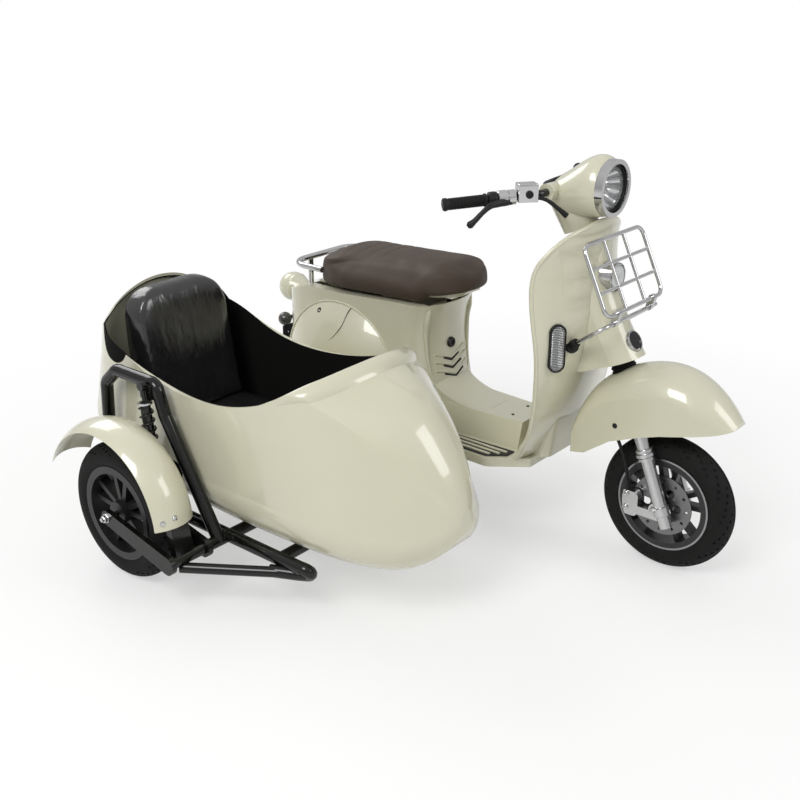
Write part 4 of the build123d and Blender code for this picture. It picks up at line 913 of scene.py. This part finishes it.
# Spot lamp: a pale pressed glass lens in a plated ring,
# clipped on the shell behind the carrier.
lens_pale, place = blank("pale_lens")
across = place.maths("SINE", coordinate(place, 1) * 900.0)
squares = across * place.maths("SINE", coordinate(place, 2) * 900.0)
surface(place, {
    "Base Color": blend(place, squares * 0.5 + 0.5, (0.55, 0.57, 0.58), (0.88, 0.89, 0.89)),
    "Roughness": 0.06 + 0.06 * noise(place, 90.0), "Coat Weight": 0.8,
    "Normal": relief(place, squares, 0.5, 0.0015),
})
ring = lathe(
    at(-219, 0, 835), (1, 0, 0), ((0, 41.5), (5, 41.5), (7, 39.5), (7, 36.5), (3, 35.5), (3, 0.4)), 48,
)
settle(ring, "spot_lamp_ring", "chassis", chrome, 30.0)
lens = lathe(at(-217, 0, 835), (1, 0, 0), ((0, 35.2), (4, 34), (7, 26), (8.5, 14), (8.8, 0.4)), 48)
settle(lens, "spot_lamp_lens", "chassis", lens_pale, 50.0)


# Front turn lamps: long ribbed lenses with rounded ends in black plastic rims, screwed on the shoulders
# of the shield, with a rubber boot beside each where the carrier's stay is bolted.
def long_lamp(profile, ends=(False, False)):
    """A turned piece pulled apart upwards and downwards into a long form with round ends."""
    spot, stretch = at(-300, -168, 650), 0.046
    piece = lathe(spot, (0.82, -0.57, 0), profile, 44, ends)
    for corner in piece.data.vertices:
        corner.co.z += stretch if corner.co.z > spot.z else -stretch
    return piece


ribbed, place = blank("turn_lens")
lines = place.maths("SINE", coordinate(place, 2) * 1250.0)
surface(place, {
    "Base Color": blend(place, lines * 0.5 + 0.5, (0.030, 0.030, 0.032), (0.42, 0.43, 0.44)),
    "Metallic": 0.55 + 0.2 * lines,
    "Roughness": 0.10 + 0.08 * noise(place, 80.0), "Coat Weight": 0.9,
    "Normal": relief(place, lines, 0.5, 0.002),
})
lens = long_lamp(((-4, 21), (10, 21), (13, 18.5), (14.5, 12), (15, 0.4)))
right, left = both_sides(lens, "turn_lens", "chassis", ribbed, 40.0)
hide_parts("turn_lamp_right")
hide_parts("turn_lamp_left")
rim = long_lamp(((-6, 25.5), (9, 25.5), (12, 24), (12, 21.8), (9, 21.2), (-4, 21.2)), (True, True))
both_sides(rim, "turn_rim", "chassis", plastic, 30.0)
boot = lathe(
    at(-280, -121, 649), (142, -58, 102),
    ((-3, 22), (6, 22), (8, 20), (9, 14), (28, 13), (30, 11), (30, 7)), 32,
)
both_sides(boot, "stay_boot", "chassis", hose_rubber, 30.0)

# Shield edge: the border of the leg shield's sheet, rolled to a bead round its whole outline
# and painted with it.
border = (
    (-402, 174, 308), (-372, 184, 360), (-353, 194.5, 420), (-342, 203, 480),
    (-336, 210, 540), (-333.5, 215, 600), (-337, 219, 660), (-346, 221.5, 720),
    (-355.5, 220, 780), (-359, 214.5, 840), (-351, 206, 882), (-330, 186, 920),
    (-308, 155, 950), (-292, 117, 969), (-281, 78, 979), (-278, 38, 986),
)
edge_line = [at(x, -y, z) for x, y, z in border] + [at(-276, 0, 988.5)] + [at(*p) for p in reversed(border)]
settle(tube(edge_line, 6.5), "shield_bead", "chassis", cream)

# Horn cover's nose: a plain plated ring round a blank disc of black plastic,
# pressed into the cover.
nose = Vector((0.85, 0, 0.53))
ring = lathe(
    at(-147, 0, 660.5), nose, ((-5, 33), (2, 33), (4.5, 31), (4.5, 27.5), (1, 26.5), (-5, 26.5)), 48,
    (True, True),
)
settle(ring, "nose_ring", "chassis", chrome, 30.0)
face = lathe(at(-147, 0, 660.5), nose, ((-5, 26.5), (1.5, 26.5), (3, 22), (3.6, 12), (3.8, 0.4)), 48)
settle(face, "nose_disc", "chassis", plastic, 50.0)

# Rear lamps: red and amber plastic lenses, ribbed inside,
# pressed into a painted shell and two black ones.
for node, lens_x, shell, tint in (
    ("tail_lamp", -1541, (0.62, 0.61, 0.47), (0.42, 0.010, 0.008)),
    ("rear_indicator_left", -1470, (0.020, 0.020, 0.021), (0.75, 0.20, 0.010)),
    ("rear_indicator_right", -1470, (0.020, 0.020, 0.021), (0.75, 0.20, 0.010)),
):
    made, place = blank("shell_and_lens_" + node)
    behind = coordinate(place, 0) < at(lens_x, 0, 0).x
    cells = place.maths("SINE", coordinate(place, 2) * 800.0)
    ground = blend(place, cells * 0.5 + 0.5, tint, tuple(0.6 * v for v in tint))
    surface(place, {
        "Base Color": blend(
            place, behind, blend(place, noise(place, 9.0), shell, tuple(1.06 * v for v in shell)), ground,
        ),
        "Roughness": 0.30 - 0.20 * behind + 0.08 * noise(place, 60.0), "Coat Weight": 0.8,
        "Normal": relief(place, cells * behind, 0.3, 0.0012),
    })
    paint((node,), made)

# Scuttle: a pressed band welded round the front of the cockpit, proud of the deck at the rim and filled down
# flush with it, in the tub's own paint.
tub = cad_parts["sidecar_body"]
cockpit_x, cockpit_y, cockpit_ahead, cockpit_half = -720, -625, 132, 250
knee_x, knee_up = -617, 655
columns, levels = 48, ((0, -7), (0, 6), (2, 12), (9, 14.5), (22, 14), (34, 11), (44, 5), (50, 0.5), (54, -3))
band = begin(
    bpy.ops.mesh.primitive_grid_add, x_subdivisions=columns, y_subdivisions=len(levels) - 1, size=1.0,
)


def rim_point(turn):
    """A place on the cockpit's rim by its angle from straight ahead, seen from the middle of the tub."""
    forward = cockpit_x + cockpit_ahead * max(cos(turn), 0.0) ** 0.851
    left = cockpit_y + copysign(cockpit_half * abs(sin(turn)) ** 1.25, sin(turn))
    slope = 0.639 if forward > knee_x else 0.5245
    return at(forward, left, knee_up + (forward - knee_x) * slope)


for corner in band.data.vertices:
    turn = radians(172 * corner.co.x)
    reach, proud = levels[round((corner.co.y + 0.5) * (len(levels) - 1))]
    edge = rim_point(turn)
    run = rim_point(turn + 0.02) - rim_point(turn - 0.02)
    away = Vector((run.y, -run.x, 0)).normalized()
    away = away if away.x * cos(turn) + away.y * sin(turn) > 0 else -away
    fade = min(1.0, (86 - abs(turn) * 180 / pi) / 30)
    near = edge + away * (reach / 1000) + Vector((0, 0, 0.004 - 0.0004 * reach))
    found, skin, facing, index = tub.closest_point_on_mesh(near)
    if reach < 6:
        skin, facing = edge + away * (reach / 1000), Vector((0, 0, 1))
    corner.co = skin + facing * (proud * (fade if proud > 0 else 1.0) / 1000)
bpy.ops.object.mode_set(mode="EDIT")
outward()
bpy.ops.object.mode_set(mode="OBJECT")
if sum(face.normal.z for face in band.data.polygons) < 0:
    band.data.flip_normals()
refine(band)
settle(band, "scuttle_band", "chassis", cream, 60.0)

# Sidecar rail ends: black steel tube, the outer rail drawn round into the guard tube below it,
# and the inner one closed by a welded dome.
bend = tube([at(*p) for p in (
    (-706, -919, 121), (-664, -898, 121), (-622, -878, 122),
    (-596, -873, 131), (-600, -884, 145), (-628, -886, 145),
)], 18.4)
settle(bend, "rail_bend_right", "chassis", enamel)
dome = lathe(at(-612, -372, 145), (1, 0, 0), ((0, 18.6), (6, 17.8), (11, 14.5), (14.5, 9), (15.5, 0.4)), 32)
settle(dome, "rail_dome_left", "chassis", enamel, 60.0)

# Screws: small plated heads that hold the sidecar's mudguard to its stay,
# and black ones at the front mudguard.
head = ((0, 8), (3, 8), (5, 6.5), (5.5, 3), (5.6, 0.4))
for name, spot, normal in (
    ("mudguard_screw_low", at(-928, -1094, 260), (0.91, -0.40, 0.13)),
    ("mudguard_screw_high", at(-919, -1061, 267), (0.99, -0.06, 0.15)),
):
    settle(lathe(spot, normal, head, 24), name, "chassis", chrome, 40.0)
guard_screw = lathe(at(-135, -98, 435), (0, -1, 0.05), head, 24)
both_sides(guard_screw, "front_guard_screw", "steering", plastic, 40.0)
